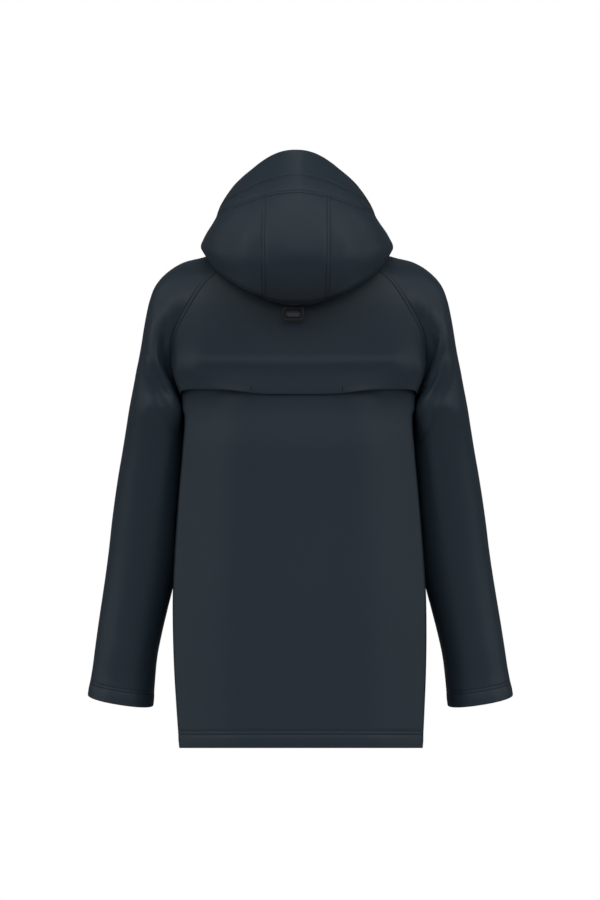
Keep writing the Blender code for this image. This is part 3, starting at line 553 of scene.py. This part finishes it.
def clothHeight(cut, surface):  # how far the cloth stands out from its smooth form, in mm, and its painted shade
    height = np.zeros(surface["points"].shape[:2])
    shade = np.zeros(surface["points"].shape[:2])
    edges = surface["edges"]
    for fold in cut.get("folds", []):
        height += foldHeight(fold, surface)
    for side in ("left", "right"):  # a fold dies out at a seam, so that no gap opens there
        if cut["edges"].get(side) == "seam":
            height *= 1 - bell(edges[side] / mm, relief["foldsStop"])
        elif "openEdges" in cut:
            opened = rowPart(surface, None, cut["closedFrom"])
            height *= 1 - bell(edges[side] / mm, relief["armFoldsStop"]) * opened
    if cut.get("puff"):  # a panel swells between its seams
        tall, wide = cut["puff"]
        inner = np.full(height.shape, 1.0)
        for side in cut["edges"]:
            inner *= 1 - np.exp(-((edges[side] / mm / wide) ** relief["puffPower"]))
        height += tall * inner
    # each edge sinks in a groove, and painted shade darkens the groove
    for side, style in cut["edges"].items():
        away = edges[side] / mm
        depth, dark = edgeRelief[style]
        height -= depth * bell(away, relief["edge"])
        shade += dark * bell(away, relief["edgeShade"])
    if "openEdges" in cut:  # a sleeve's seams run only as far as the underarm
        opened = rowPart(surface, None, cut["closedFrom"])
        depth, dark = edgeRelief[cut["openEdges"]]
        for side in ("left", "right"):
            away = edges[side] / mm
            height -= depth * bell(away, relief["edge"]) * opened
            shade += dark * bell(away, relief["armShade"]) * opened
    for fold in cut.get("shadows", []):  # painted shadow in a gap under a loose edge, and painted shade where a piece turns under
        shade += foldHeight(fold, surface)
    # each stitched line sinks in a groove, with painted shade along it
    for away, fade, offset in lineFades(cut, surface):
        height -= relief["lineDepth"] * bell(away, relief["line"]) * fade
        shade += bell(away, relief["lineShade"]) * fade
        if offset is not None:
            height += relief["swell"] * bell(away + offset / 2, offset / 4) * fade
    return height, np.clip(shade, 0, 1)


def clothPiece(cut):
    surface = clothSurface(cut)
    points = surface["points"]
    normals = surface["normals"]
    height, shade = clothHeight(cut, surface)
    closed = surface["closed"]
    height[closed, -1] = height[closed, 0]
    shade[closed, -1] = shade[closed, 0]
    normals[closed, -1] = normals[closed, 0]
    shaped = points + normals * height[..., None] * mm
    surface["shaped"] = shaped + normals * shellThickness  # the outer face, for the stitches
    rows, columns = shaped.shape[:2]
    index = np.arange(rows * columns).reshape(rows, columns)
    if "closedFrom" in cut:
        first = surface["rowIndex"][f"row{cut['closedFrom']}0.0"]
        index[first:, -1] = index[first:, 0]
    quads = np.stack([index[:-1, :-1], index[:-1, 1:], index[1:, 1:], index[1:, :-1]], axis=-1)
    quads = quads.reshape(-1, 4)[:, ::-1]
    used, quads = np.unique(quads, return_inverse=True)
    quads = quads.reshape(-1, 4)
    piece = newObject(cut["name"], shaped.reshape(-1, 3)[used], quads.tolist(), clothBacking)
    piece.data.materials.append(coatedCloth)  # the Solidify gives it to the outer face
    alongCloth = arcLengths(points)
    acrossCloth = np.swapaxes(arcLengths(np.swapaxes(points, 0, 1)), 0, 1)
    flat = np.stack([acrossCloth, alongCloth], axis=-1).reshape(-1, 2)[used]
    # the seam attribute carries the painted shade that darkens the cloth's colour
    seam = piece.data.attributes.new("seam", "FLOAT", "POINT")
    seam.data.foreach_set("value", shade.reshape(-1)[used].astype(np.float32))
    layer = piece.data.uv_layers.new(name="flat")
    layer.data.foreach_set("uv", flat[quads.ravel()].astype(np.float32).ravel())
    applied(piece, "SOLIDIFY", "thickness", thickness=shellThickness, offset=-1.0,
            material_offset=1, material_offset_rim=1, use_even_offset=False)
    bpy.ops.object.shade_smooth_by_angle(angle=math.radians(50))
    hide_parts(cut["node"])
    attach(piece, "root")
    print(f"{cut['name']}: {len(piece.data.polygons)} faces")
    return piece, surface


# Stitches.

stitch = {  # sizes in mm, and one stitch's rings as along, radius and height shares
    "pitch": 3.4, "length": 2.7, "radius": 0.3, "lift": 0.08, "sides": 5,
    "rings": ((-0.5, 0.35, -1.1), (-0.24, 1.0, 0.0), (0.24, 1.0, 0.0), (0.5, 0.35, -1.1)),
}


def stitchRow(path, outward, size=stitch):  # points and faces of the stitches along a path
    runs = np.linalg.norm(np.diff(path, axis=0), axis=1)
    lengths = np.concatenate([[0], np.cumsum(runs)])
    count = max(1, int(round(lengths[-1] / mm / size["pitch"])))
    at = (np.arange(count) + 0.5) * lengths[-1] / count

    def read(values, where):
        return np.stack([np.interp(where, lengths, axis) for axis in values.T], axis=1)

    half = size["length"] * mm / 2
    centre = read(path, at)
    along = read(path, np.minimum(at + half, lengths[-1])) - read(path, np.maximum(at - half, 0))
    along /= np.linalg.norm(along, axis=1, keepdims=True)
    normal = read(outward, at)
    normal -= (normal * along).sum(axis=1, keepdims=True) * along
    normal /= np.linalg.norm(normal, axis=1, keepdims=True)
    aside = np.cross(normal, along)
    points = []
    for place, width, height in size["rings"]:
        middle = centre + along * place * size["length"] * mm
        middle = middle + normal * (size["lift"] + height * size["radius"]) * mm
        for k in range(size["sides"]):
            turn = math.tau * k / size["sides"]
            out = math.cos(turn) * aside + math.sin(turn) * normal
            points.append(middle + out * size["radius"] * width * mm)
    points = np.stack(points, axis=1)
    sides, rings = size["sides"], len(size["rings"])
    faces = [tuple(range(sides))[::-1], tuple(range((rings - 1) * sides, rings * sides))]
    for ring in range(rings - 1):
        for k in range(sides):
            a, b = ring * sides + k, ring * sides + (k + 1) % sides
            faces.append((a, b, b + sides, a + sides))
    every = points.shape[1]
    faces = [tuple(i + k * every for i in face) for k in range(count) for face in faces]
    return points.reshape(-1, 3), faces


def stitchPiece(name, rows):
    points, faces, used = [], [], 0
    for path, outward, size in rows:
        some, theirs = stitchRow(path, outward, size)
        points.append(some)
        faces += [tuple(i + used for i in face) for face in theirs]
        used += len(some)
    piece = newObject(name, np.concatenate(points), faces, seamThread)
    for face in piece.data.polygons:
        face.use_smooth = True
    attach(piece, "root")
    return piece


def stitchedLines(cut, surface):  # the paths of a piece's stitched lines, on its finished face
    shaped, normals = surface["shaped"], surface["normals"]
    rowIndex, columnIndex = surface["rowIndex"], surface["columnIndex"]
    for name, side, offset, *span in cut.get("lines", []):
        if side in ("top", "bottom"):
            row = rowIndex[f"{name}0.0"]
            yield shaped[row], normals[row], stitch
        else:
            first, last = (list(span) + [None, None])[:2]
            first = 0 if first is None else rowIndex[f"row{first}0.0"]
            last = len(shaped) if last is None else rowIndex[f"row{last}0.0"]
            column = columnIndex[f"{name}0.0"]
            yield shaped[first:last, column], normals[first:last, column], stitch
    for row in cut.get("rowLines", []):
        row = rowIndex[f"row{row}0.0"]
        yield shaped[row], normals[row], stitch


def onSurface(surface, x, z):  # the point and normal of a surface seen from behind at x and z
    points = surface["shaped"].reshape(-1, 3)
    normals = surface["normals"].reshape(-1, 3)
    away = np.hypot(points[:, 0] - x, points[:, 2] - z)
    near = np.argsort(away)[:4]
    weight = 1 / (away[near, None] + 1e-6)
    point = (points[near] * weight).sum(axis=0) / weight.sum()
    normal = (normals[near] * weight).sum(axis=0)
    return np.array([x, point[1], z]), normal / np.linalg.norm(normal)


tack = dict(stitch, pitch=2.2, length=1.8, radius=0.24, lift=0.06, every=0.55, reach=1.0)


def barTack(surface, x, top, bottom):  # close short stitches across a line, in mm
    rows = []
    for z in np.arange(bottom, top, tack["every"]):
        point, normal = onSurface(surface, x * mm, z * mm)
        across = np.array([tack["reach"], 0, 0]) * mm
        rows.append((np.array([point - across, point + across]), np.array([normal, normal]), tack))
    return rows


# The pieces and their folds.

def placedFolds(lines, facing=1, share=1.0, shift=(0, 0), flip=1):  # folds from their lines
    folds = []
    for height, spread, line in lines:
        moved = [(flip * (x + shift[0]), z + shift[1]) for x, z in line]
        spread = spread if flip > 0 else spread[::-1]
        broad = min(spread) > 10  # a broad rise stays on the side that faces the viewer
        least, fade = (0.08, (0.5, 0.5)) if broad else (-0.1, (0.4, 0.3))
        folds.append({"line": moved, "height": height * share, "spread": spread,
                      "facing": facing, "least": least, "fade": fade})
    return folds


leftArmLines = [  # height, spread on the outer and the inner side, then (x, z) down the line
    (-2.8, (9.0, 3.2), ((212, -76), (211.5, -96), (210.5, -118), (208.5, -142), (205, -168),
                        (200, -192), (194.5, -214), (190, -234))),
    (3.0, (11.0, 3.4), ((236, -112), (233, -138), (229, -161), (222, -179), (213.5, -194),
                        (203, -212), (193, -230))),
    (-2.2, (4.0, 3.6), ((243, -130), (238, -158), (231, -180), (223, -198), (213, -214),
                        (203, -229), (193, -244))),
    (1.6, (4.0, 5.0), ((236, -200), (230, -220), (223, -238), (215, -256))),
    (-2.4, (6.0, 9.0), ((214, -240), (208, -258), (200, -278), (191, -300))),
    (7.5, (14.0, 14.0), ((206, -172), (200, -205), (197, -238), (196, -272), (196, -310))),
    (1.2, (12.0, 12.0), ((196, -44), (197, -66), (199, -90), (203, -116))),
    (3.0, (18.0, 18.0), ((212, -70), (212, -100), (211, -130), (208, -160), (203, -190))),
]
rightArmLines = [
    (-2.8, (8.0, 3.2), ((212, -70), (210, -86), (208, -106), (207, -130), (204, -158),
                        (199.5, -182), (194.5, -205), (190, -226))),
    (2.8, (9.0, 3.4), ((231, -74), (232, -102), (231, -125), (226, -147), (218, -168),
                       (209.5, -189), (201, -208), (193, -226))),
    (-2.2, (3.6, 3.6), ((236, -122), (232.5, -145), (225.5, -169), (217, -190), (209, -209),
                        (201, -227), (193, -243))),
    (2.0, (6.0, 4.5), ((238, -185), (231, -211), (224, -236), (216, -258))),
    (-2.4, (3.4, 6.0), ((223, -234), (217, -253), (209, -272), (196, -293), (186.5, -304))),
    (7.5, (14.0, 14.0), ((206, -172), (200, -205), (197, -238), (196, -272), (196, -310))),
    (1.2, (12.0, 12.0), ((197, -44), (198, -66), (200, -90), (204, -116))),
    (3.0, (18.0, 18.0), ((212, -70), (212, -100), (211, -130), (208, -160), (203, -190))),
]
yokeFolds = [  # (x, z) across: the spread is below and above the line
    {"line": ((174, -165), (110, -165.5), (0, -166.5), (-114, -165.5), (-174, -165)), "height": 1.5,
     "spread": (12, 6)},
    {"line": ((186, -174), (166, -178), (140, -178)), "height": 4.6, "spread": (20, 24),
     "fade": (0, 0.5)},
    {"line": ((-140, -178), (-166, -178), (-186, -174)), "height": 4.4, "spread": (20, 24),
     "fade": (0.5, 0)},
    {"line": ((142, -216), (108, -216), (74, -217)), "height": 1.3, "spread": (8, 6),
     "fade": (0.4, 0.4)},
    {"line": ((-70, -217), (-106, -216), (-142, -215)), "height": 1.3, "spread": (8, 6),
     "fade": (0.4, 0.4)},
]
backFolds = [  # shallow hollows under the two places where the flap stands off
    {"line": ((142, -214), (108, -212), (76, -214)), "height": -2.6, "spread": (16, 5),
     "fade": (0.4, 0.4)},
    {"line": ((-71, -214), (-106, -212), (-142, -213)), "height": -2.6, "spread": (16, 5),
     "fade": (0.4, 0.4)},
]
# painted shadow in the gaps under the two places where the flap stands off
gapShadows = [dict(fold, height=0.85, spread=(6.5, 5), fade=(0.5, 0.5)) for fold in backFolds]
frontFolds = [  # the wearer's left, mirrored for the right
    (-2.4, (8, 14), ((176, -150), (160, -190), (140, -240), (122, -300))),
    (1.8, (12, 9), ((150, -120), (138, -165), (120, -215), (104, -270))),
    (-1.6, (20, 24), ((60, -320), (66, -440), (64, -560), (70, -690))),
    (1.4, (18, 16), ((120, -420), (124, -540), (128, -680))),
]
hoodFolds = [
    {"line": ((66, -2), (34, 6), (0, 8), (-34, 6), (-66, -2)), "height": 3.6, "spread": (24, 34),
     "fade": (0.45, 0.45)},
    {"line": ((96, -36), (64, -58), (34, -70), (0, -74), (-34, -70), (-64, -58), (-96, -36)),
     "height": -2.0, "spread": (26, 32), "fade": (0.5, 0.5)},
    {"line": ((-1, 168), (-1, 133), (0, 93), (0, 48)), "height": 1.0, "spread": (13, 13),
     "fade": (0.2, 0.3)},
]
# painted shade where the hood turns under
hoodShadows = [dict(hoodFolds[1], height=0.9, spread=(20, 34), fade=(0.25, 0.25))]

hemLines = [("hemLow", "bottom", 21), ("hemHigh", "bottom", 27)]
sleeveSettings = {  # the same on both sides
    "columns": 25, "step": 2.7, "closedFrom": 14, "keepRows": [14], "openEdges": "seam",
    "edges": {"top": "seam", "bottom": "folded"},
    "lines": [("cuffLow", "bottom", 21), ("cuffHigh", "bottom", 26)],
    "flat": (0.42, 0.8), "area": 0.239,
}
hoodSideSettings = {
    "columns": 14, "step": 2.6, "puff": (1.6, 16), "folds": hoodFolds, "shadows": hoodShadows,
    "lines": [("visorJoin", "bottom", 5.0)], "flat": (0.3, 0.36), "area": 0.045,
}
cuts = [
    {"name": "yokeCloth", "node": "back_yoke", "start": (-60, 48, 7), "columns": 21, "step": 5,
     "edges": {"left": "seam", "right": "seam", "top": "seam", "bottom": "folded"},
     "lines": [("raglanRight", "left", 5.8), ("raglanLeft", "right", 5.8)],
     "pressed": {"from": 118, "slope": 0.5, "inset": 0.8, "side": 34, "round": 5, "top": -140,
                 "fadeOver": 50},
     "folds": yokeFolds, "tacks": [(76, -205.5, -214), (-70.4, -205.5, -214)], "flat": (0.46, 0.27),
     "area": 0.0886},
    {"name": "backCloth", "node": "back_panel", "start": (-204, 46, -150), "columns": 21, "step": 5,
     "edges": {"left": "seam", "right": "seam", "top": "folded", "bottom": "folded"},
     "lines": hemLines, "folds": backFolds, "shadows": gapShadows,
     "pressed": {"from": 118, "slope": 0.6, "inset": 0.8, "narrow": 185, "side": 34, "round": 4,
                 "top": -184, "fadeOver": 30},
     "flat": (0.52, 0.66), "area": 0.327},
    {"name": "frontLeftCloth", "node": "front_left", "start": (60, -44, -7), "columns": 12,
     "step": 5, "keepRows": [14],
     "edges": {"left": "seam", "right": "folded", "top": "seam", "bottom": "folded"},
     "lines": hemLines + [("raglan", "left", 5.8, None, 14), ("placket", "right", 50)],
     "folds": placedFolds(frontFolds, facing=-1), "flat": (0.33, 0.8), "area": 0.2047},
    {"name": "frontRightCloth", "node": "front_right", "start": (26, -84, -74), "columns": 12,
     "step": 5, "keepRows": [14],
     "edges": {"left": "folded", "right": "seam", "top": "seam", "bottom": "folded"},
     "lines": hemLines + [("raglan", "right", 5.8, None, 14), ("placket", "left", 50)],
     "folds": placedFolds(frontFolds, facing=-1, flip=-1, share=0.9), "flat": (0.33, 0.8),
     "area": 0.2045},
    {"name": "sleeveLeftCloth", "node": "sleeve_left", "start": (60, 48, 7),
     "folds": placedFolds(leftArmLines)
              + placedFolds(rightArmLines, facing=-1, share=0.8, shift=(-2, -6)),
     **sleeveSettings},
    {"name": "sleeveRightCloth", "node": "sleeve_right", "start": (-60, -44, -7),
     "folds": placedFolds(rightArmLines, flip=-1)
              + placedFolds(leftArmLines, facing=-1, share=0.8, shift=(2, -4), flip=-1),
     **sleeveSettings},
    {"name": "hoodLeftCloth", "node": "hood_side_left", "start": (14, -83, -66),
     "edges": {"top": "seam", "right": "seam", "bottom": "seam"}, **hoodSideSettings},
    {"name": "hoodRightCloth", "node": "hood_side_right", "start": (-43, 67, 4),
     "edges": {"top": "seam", "left": "seam", "bottom": "seam"}, **hoodSideSettings},
    {"name": "hoodCentreCloth", "node": "hood_centre", "start": (43, 67, 4), "columns": 9,
     "step": 3.5, "edges": {"top": "seam", "left": "seam", "right": "seam", "bottom": "seam"},
     "puff": (1.2, 14), "folds": hoodFolds, "shadows": hoodShadows,
     "lines": [("visorJoin", "bottom", 5.0), ("centreLeft", "left", 5.6),
               ("centreRight", "right", 5.6)],
     "flat": (0.12, 0.46), "area": 0.044},
    {"name": "visorCloth", "node": "hood_visor_band", "start": (22, -98, -40), "columns": 35,
     "step": 3.5, "keepRows": [1], "rowLines": [1], "edges": {"top": "seam", "bottom": "folded"},
     "puff": (1.2, 12), "folds": hoodFolds[2:], "flat": (0.62, 0.075), "area": 0.0348},
]
for cut in cuts:
    piece, surface = clothPiece(cut)
    rows = list(stitchedLines(cut, surface))
    for x, top, bottom in cut.get("tacks", []):
        rows += barTack(surface, x, top, bottom)
    threads = [stitchPiece(cut["name"].replace("Cloth", "Stitches"), rows)] if rows else []
print("stitches sewn")


# Strap, slider and snaps.

def cadCopy(node, name, material):
    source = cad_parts[node]
    mesh = source.data.copy()
    mesh.materials.clear()
    mesh.materials.append(material)
    piece = bpy.data.objects.new(name, mesh)
    piece.matrix_world = source.matrix_world
    bpy.context.scene.collection.objects.link(piece)
    activate(piece)
    bpy.ops.object.transform_apply(location=True, rotation=True, scale=True)
    bpy.ops.object.mode_set(mode="EDIT")
    bpy.ops.mesh.select_all(action="SELECT")
    bpy.ops.mesh.remove_doubles(threshold=mergeWithin)
    bpy.ops.object.mode_set(mode="OBJECT")
    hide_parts(node)
    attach(piece, "root")
    return piece


strap = {  # sizes in mm; the path is (y, z) from under the hood, over the middle bar and back up
    "centre": 8.6, "width": 23.0, "thick": 1.6, "columns": 15, "steps": 90, "edge": 2.6,
    "path": ((147.5, -67.0), (142.0, -71.4), (138.4, -77.1), (138.2, -81.5), (140.4, -85.1),
             (143.1, -89.5), (140.4, -93.9), (137.6, -95.7), (135.2, -93.5), (135.2, -82.5)),
    "narrower": 1.2, "shown": 0.8,  # the webbing is narrower and thinner than its solid
    "groove": (0.35, 0.9),  # depth and width along the stitches
    "rolled": (0.3, 0.6, 0.8),  # depth, place and width at the edge
    "softEdge": 0.3, "flat": (0.023, 0.061),
    "stitch": dict(stitch, pitch=3.0, length=2.3, lift=0.1),
}


def buildStrap(size):
    knots = np.arange(len(size["path"]))
    path = through(knots, np.array(size["path"]), np.linspace(0, knots[-1], size["steps"]))
    ways = np.gradient(path, axis=0)
    ways /= np.linalg.norm(ways, axis=1, keepdims=True)
    outward = np.stack([np.zeros(len(path)), -ways[:, 1], ways[:, 0]], axis=1)
    across = np.linspace(-0.5, 0.5, size["columns"]) * (size["width"] - size["narrower"])
    away = size["width"] / 2 - np.abs(across)
    depth, wide = size["groove"]
    height = -depth * bell(away - size["edge"], wide)
    depth, place, wide = size["rolled"]
    height -= depth * bell(away - place, wide)
    points = np.zeros((len(path), len(across), 3))
    points[..., 0] = size["centre"] + across
    points[..., 1:] = path[:, None]
    points += outward[:, None] * height[None, :, None]
    index = np.arange(points[..., 0].size).reshape(points.shape[:2])
    quads = np.stack([index[:-1, :-1], index[:-1, 1:], index[1:, 1:], index[1:, :-1]], axis=-1)
    quads = quads.reshape(-1, 4)
    piece = newObject("strapWebbing", points.reshape(-1, 3) * mm, quads.tolist(), strapClothPaintedLight)
    layer = piece.data.uv_layers.new(name="flat")
    flat = points.reshape(-1, 3)[quads.ravel()][:, (0, 2)] * mm
    layer.data.foreach_set("uv", flat.astype(np.float32).ravel())
    applied(piece, "SOLIDIFY", "thickness", thickness=size["thick"] * size["shown"] * mm, offset=0,
            use_rim=True)
    applied(piece, "BEVEL", "softEdge", width=size["softEdge"] * mm, segments=2,
            limit_method="ANGLE", angle_limit=math.radians(50))
    bpy.ops.object.shade_smooth_by_angle(angle=math.radians(60))
    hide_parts("hood_strap")
    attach(piece, "root")
    rows = []
    for side in (-1, 1):
        column = int(np.argmin(np.abs(across - side * (size["width"] / 2 - size["edge"]))))
        lifted = points[:, column] + outward * size["thick"] * (size["shown"] / 2)
        rows.append((lifted * mm, outward, size["stitch"]))
    threads = stitchPiece("strapStitchesPaintedLight", rows)


buildStrap(strap)
slider = cadCopy("hood_slider", "sliderBody", sliderPlastic)
activate(slider)
bpy.ops.object.mode_set(mode="EDIT")
bpy.ops.mesh.select_all(action="SELECT")
bpy.ops.mesh.dissolve_limited(angle_limit=math.radians(1))
bpy.ops.object.mode_set(mode="OBJECT")
applied(slider, "BEVEL", "moulded", width=0.8 * mm, segments=3, limit_method="ANGLE",
        angle_limit=math.radians(42))
bpy.ops.object.shade_smooth_by_angle(angle=math.radians(40))

snapCap = {  # (radius, height) from the rim to the middle, in mm
    "profile": ((0.0, 0.1), (7.3, 0.1), (7.5, 0.35), (7.5, 0.8), (7.2, 1.35), (6.5, 1.75),
                (6.0, 1.7), (5.6, 1.8), (4.6, 2.45), (3.0, 2.85), (1.4, 2.98), (0.0, 3.0)),
    "turns": 40,
}


def buildSnap(node):
    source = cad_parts[node]
    points = np.array([source.matrix_world @ v.co for v in source.data.vertices])
    middle = points.mean(axis=0)
    axis = np.linalg.svd(points - middle)[2][-1]
    axis = axis if axis[1] < 0 else -axis  # away from the coat's front
    base = middle + axis * ((points - middle) @ axis).min()
    side = np.array([1.0, 0, 0])
    rings = []
    for radius, height in snapCap["profile"]:
        for k in range(snapCap["turns"] if radius else 1):
            turn = math.tau * k / snapCap["turns"]
            out = math.cos(turn) * side + math.sin(turn) * np.cross(axis, side)
            rings.append(base + axis * height * mm + out * radius * mm)
    count = snapCap["turns"]
    last = len(rings) - 1
    faces = []
    for k in range(count):
        follows = (k + 1) % count
        faces.append((0, 1 + follows, 1 + k))
        for ring in range(len(snapCap["profile"]) - 3):
            a, b = 1 + ring * count + k, 1 + ring * count + follows
            faces.append((a, b, b + count, a + count))
        faces.append((last - count + k, last - count + follows, last))
    piece = newObject(node.replace("snap_", "snapCap"), np.array(rings), faces, snapMetal)
    activate(piece)
    bpy.ops.object.shade_smooth_by_angle(angle=math.radians(40))
    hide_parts(node)
    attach(piece, "root")


for node in sorted(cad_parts):
    if node.startswith("snap"):
        buildSnap(node)
print("strap, slider and snaps made")


# Floor, light and camera.

def whiteFloor(size, height, tone):
    bpy.ops.object.select_all(action="DESELECT")
    bpy.ops.mesh.primitive_plane_add(size=size, location=(0, 0, height))
    floor = bpy.context.active_object
    floor.name = "floor"
    look = bpy.data.materials.new("paleFloor")
    look.use_nodes = True
    shader = look.node_tree.nodes["Principled BSDF"]
    shader.inputs["Base Color"].default_value = (tone, tone, tone, 1)
    shader.inputs["Roughness"].default_value = 0.9
    floor.data.materials.append(look)


def sunLight(name, azimuth, elevation, strength, softness):
    bpy.ops.object.light_add(type="SUN", location=(0, 0, 3))
    light = bpy.context.active_object
    light.name = name
    light.data.energy = strength
    light.data.angle = math.radians(softness)
    light.rotation_euler = (math.radians(90 - elevation), 0, math.radians(azimuth))


def stripLight(name, place, width, length, power):  # a long softbox overhead, from front to back
    bpy.ops.object.light_add(type="AREA", location=place)
    light = bpy.context.active_object
    light.name = name
    light.data.shape = "RECTANGLE"
    light.data.size = width
    light.data.size_y = length
    light.data.energy = power


def studioWorld(glow, seen):
    world = bpy.data.worlds.new("studio")
    bpy.context.scene.world = world
    world.use_nodes = True
    nodes, links = world.node_tree.nodes, world.node_tree.links
    lit, shown = nodes["Background"], nodes.new("ShaderNodeBackground")
    lit.inputs["Color"].default_value = (0.94, 0.97, 1.0, 1)
    lit.inputs["Strength"].default_value = glow
    shown.inputs["Strength"].default_value = seen
    shown.inputs["Color"].default_value = (1, 1, 1, 1)
    path, mix = nodes.new("ShaderNodeLightPath"), nodes.new("ShaderNodeMixShader")
    links.new(path.outputs["Is Camera Ray"], mix.inputs["Fac"])
    links.new(lit.outputs["Background"], mix.inputs[1])
    links.new(shown.outputs["Background"], mix.inputs[2])
    links.new(mix.outputs["Shader"], nodes["World Output"].inputs["Surface"])


whiteFloor(size=5, height=-1.45, tone=0.6)
studioWorld(glow=0.075, seen=1.0)
suns = (  # name, azimuth, elevation, strength and softness
    ("keySun", 182, 44, 1.16, 75),
    ("leftSun", 100, 25, 0.74, 70),
    ("rightSun", 256, 28, 0.76, 70),
    ("frontSun", 4, 24, 1.0, 50),
    ("leftSpot", 130, 20, 0.24, 14),
    ("rightSpot", 230, 20, 0.2, 14),
)
for sun in suns:
    sunLight(*sun)
bpy.data.objects["frontSun"].visible_glossy = False  # else the hood and shoulders get bright rims
stripLight("overhead", place=(0.01, 0.6, 2.6), width=0.4, length=5.0, power=9)
bpy.context.scene.view_settings.view_transform = "Standard"

camera = bpy.data.cameras.new("camera")
camera.type = "ORTHO"
camera.ortho_scale = 1.44  # the height seen, in metres
camera.clip_end = 100
viewer = bpy.data.objects.new("camera", camera)
viewer.location = (-0.0024, 12.0, -0.3072)
viewer.rotation_euler = (math.radians(90), 0, math.radians(180))
bpy.context.scene.collection.objects.link(viewer)
bpy.context.scene.camera = viewer
print("light and camera set")
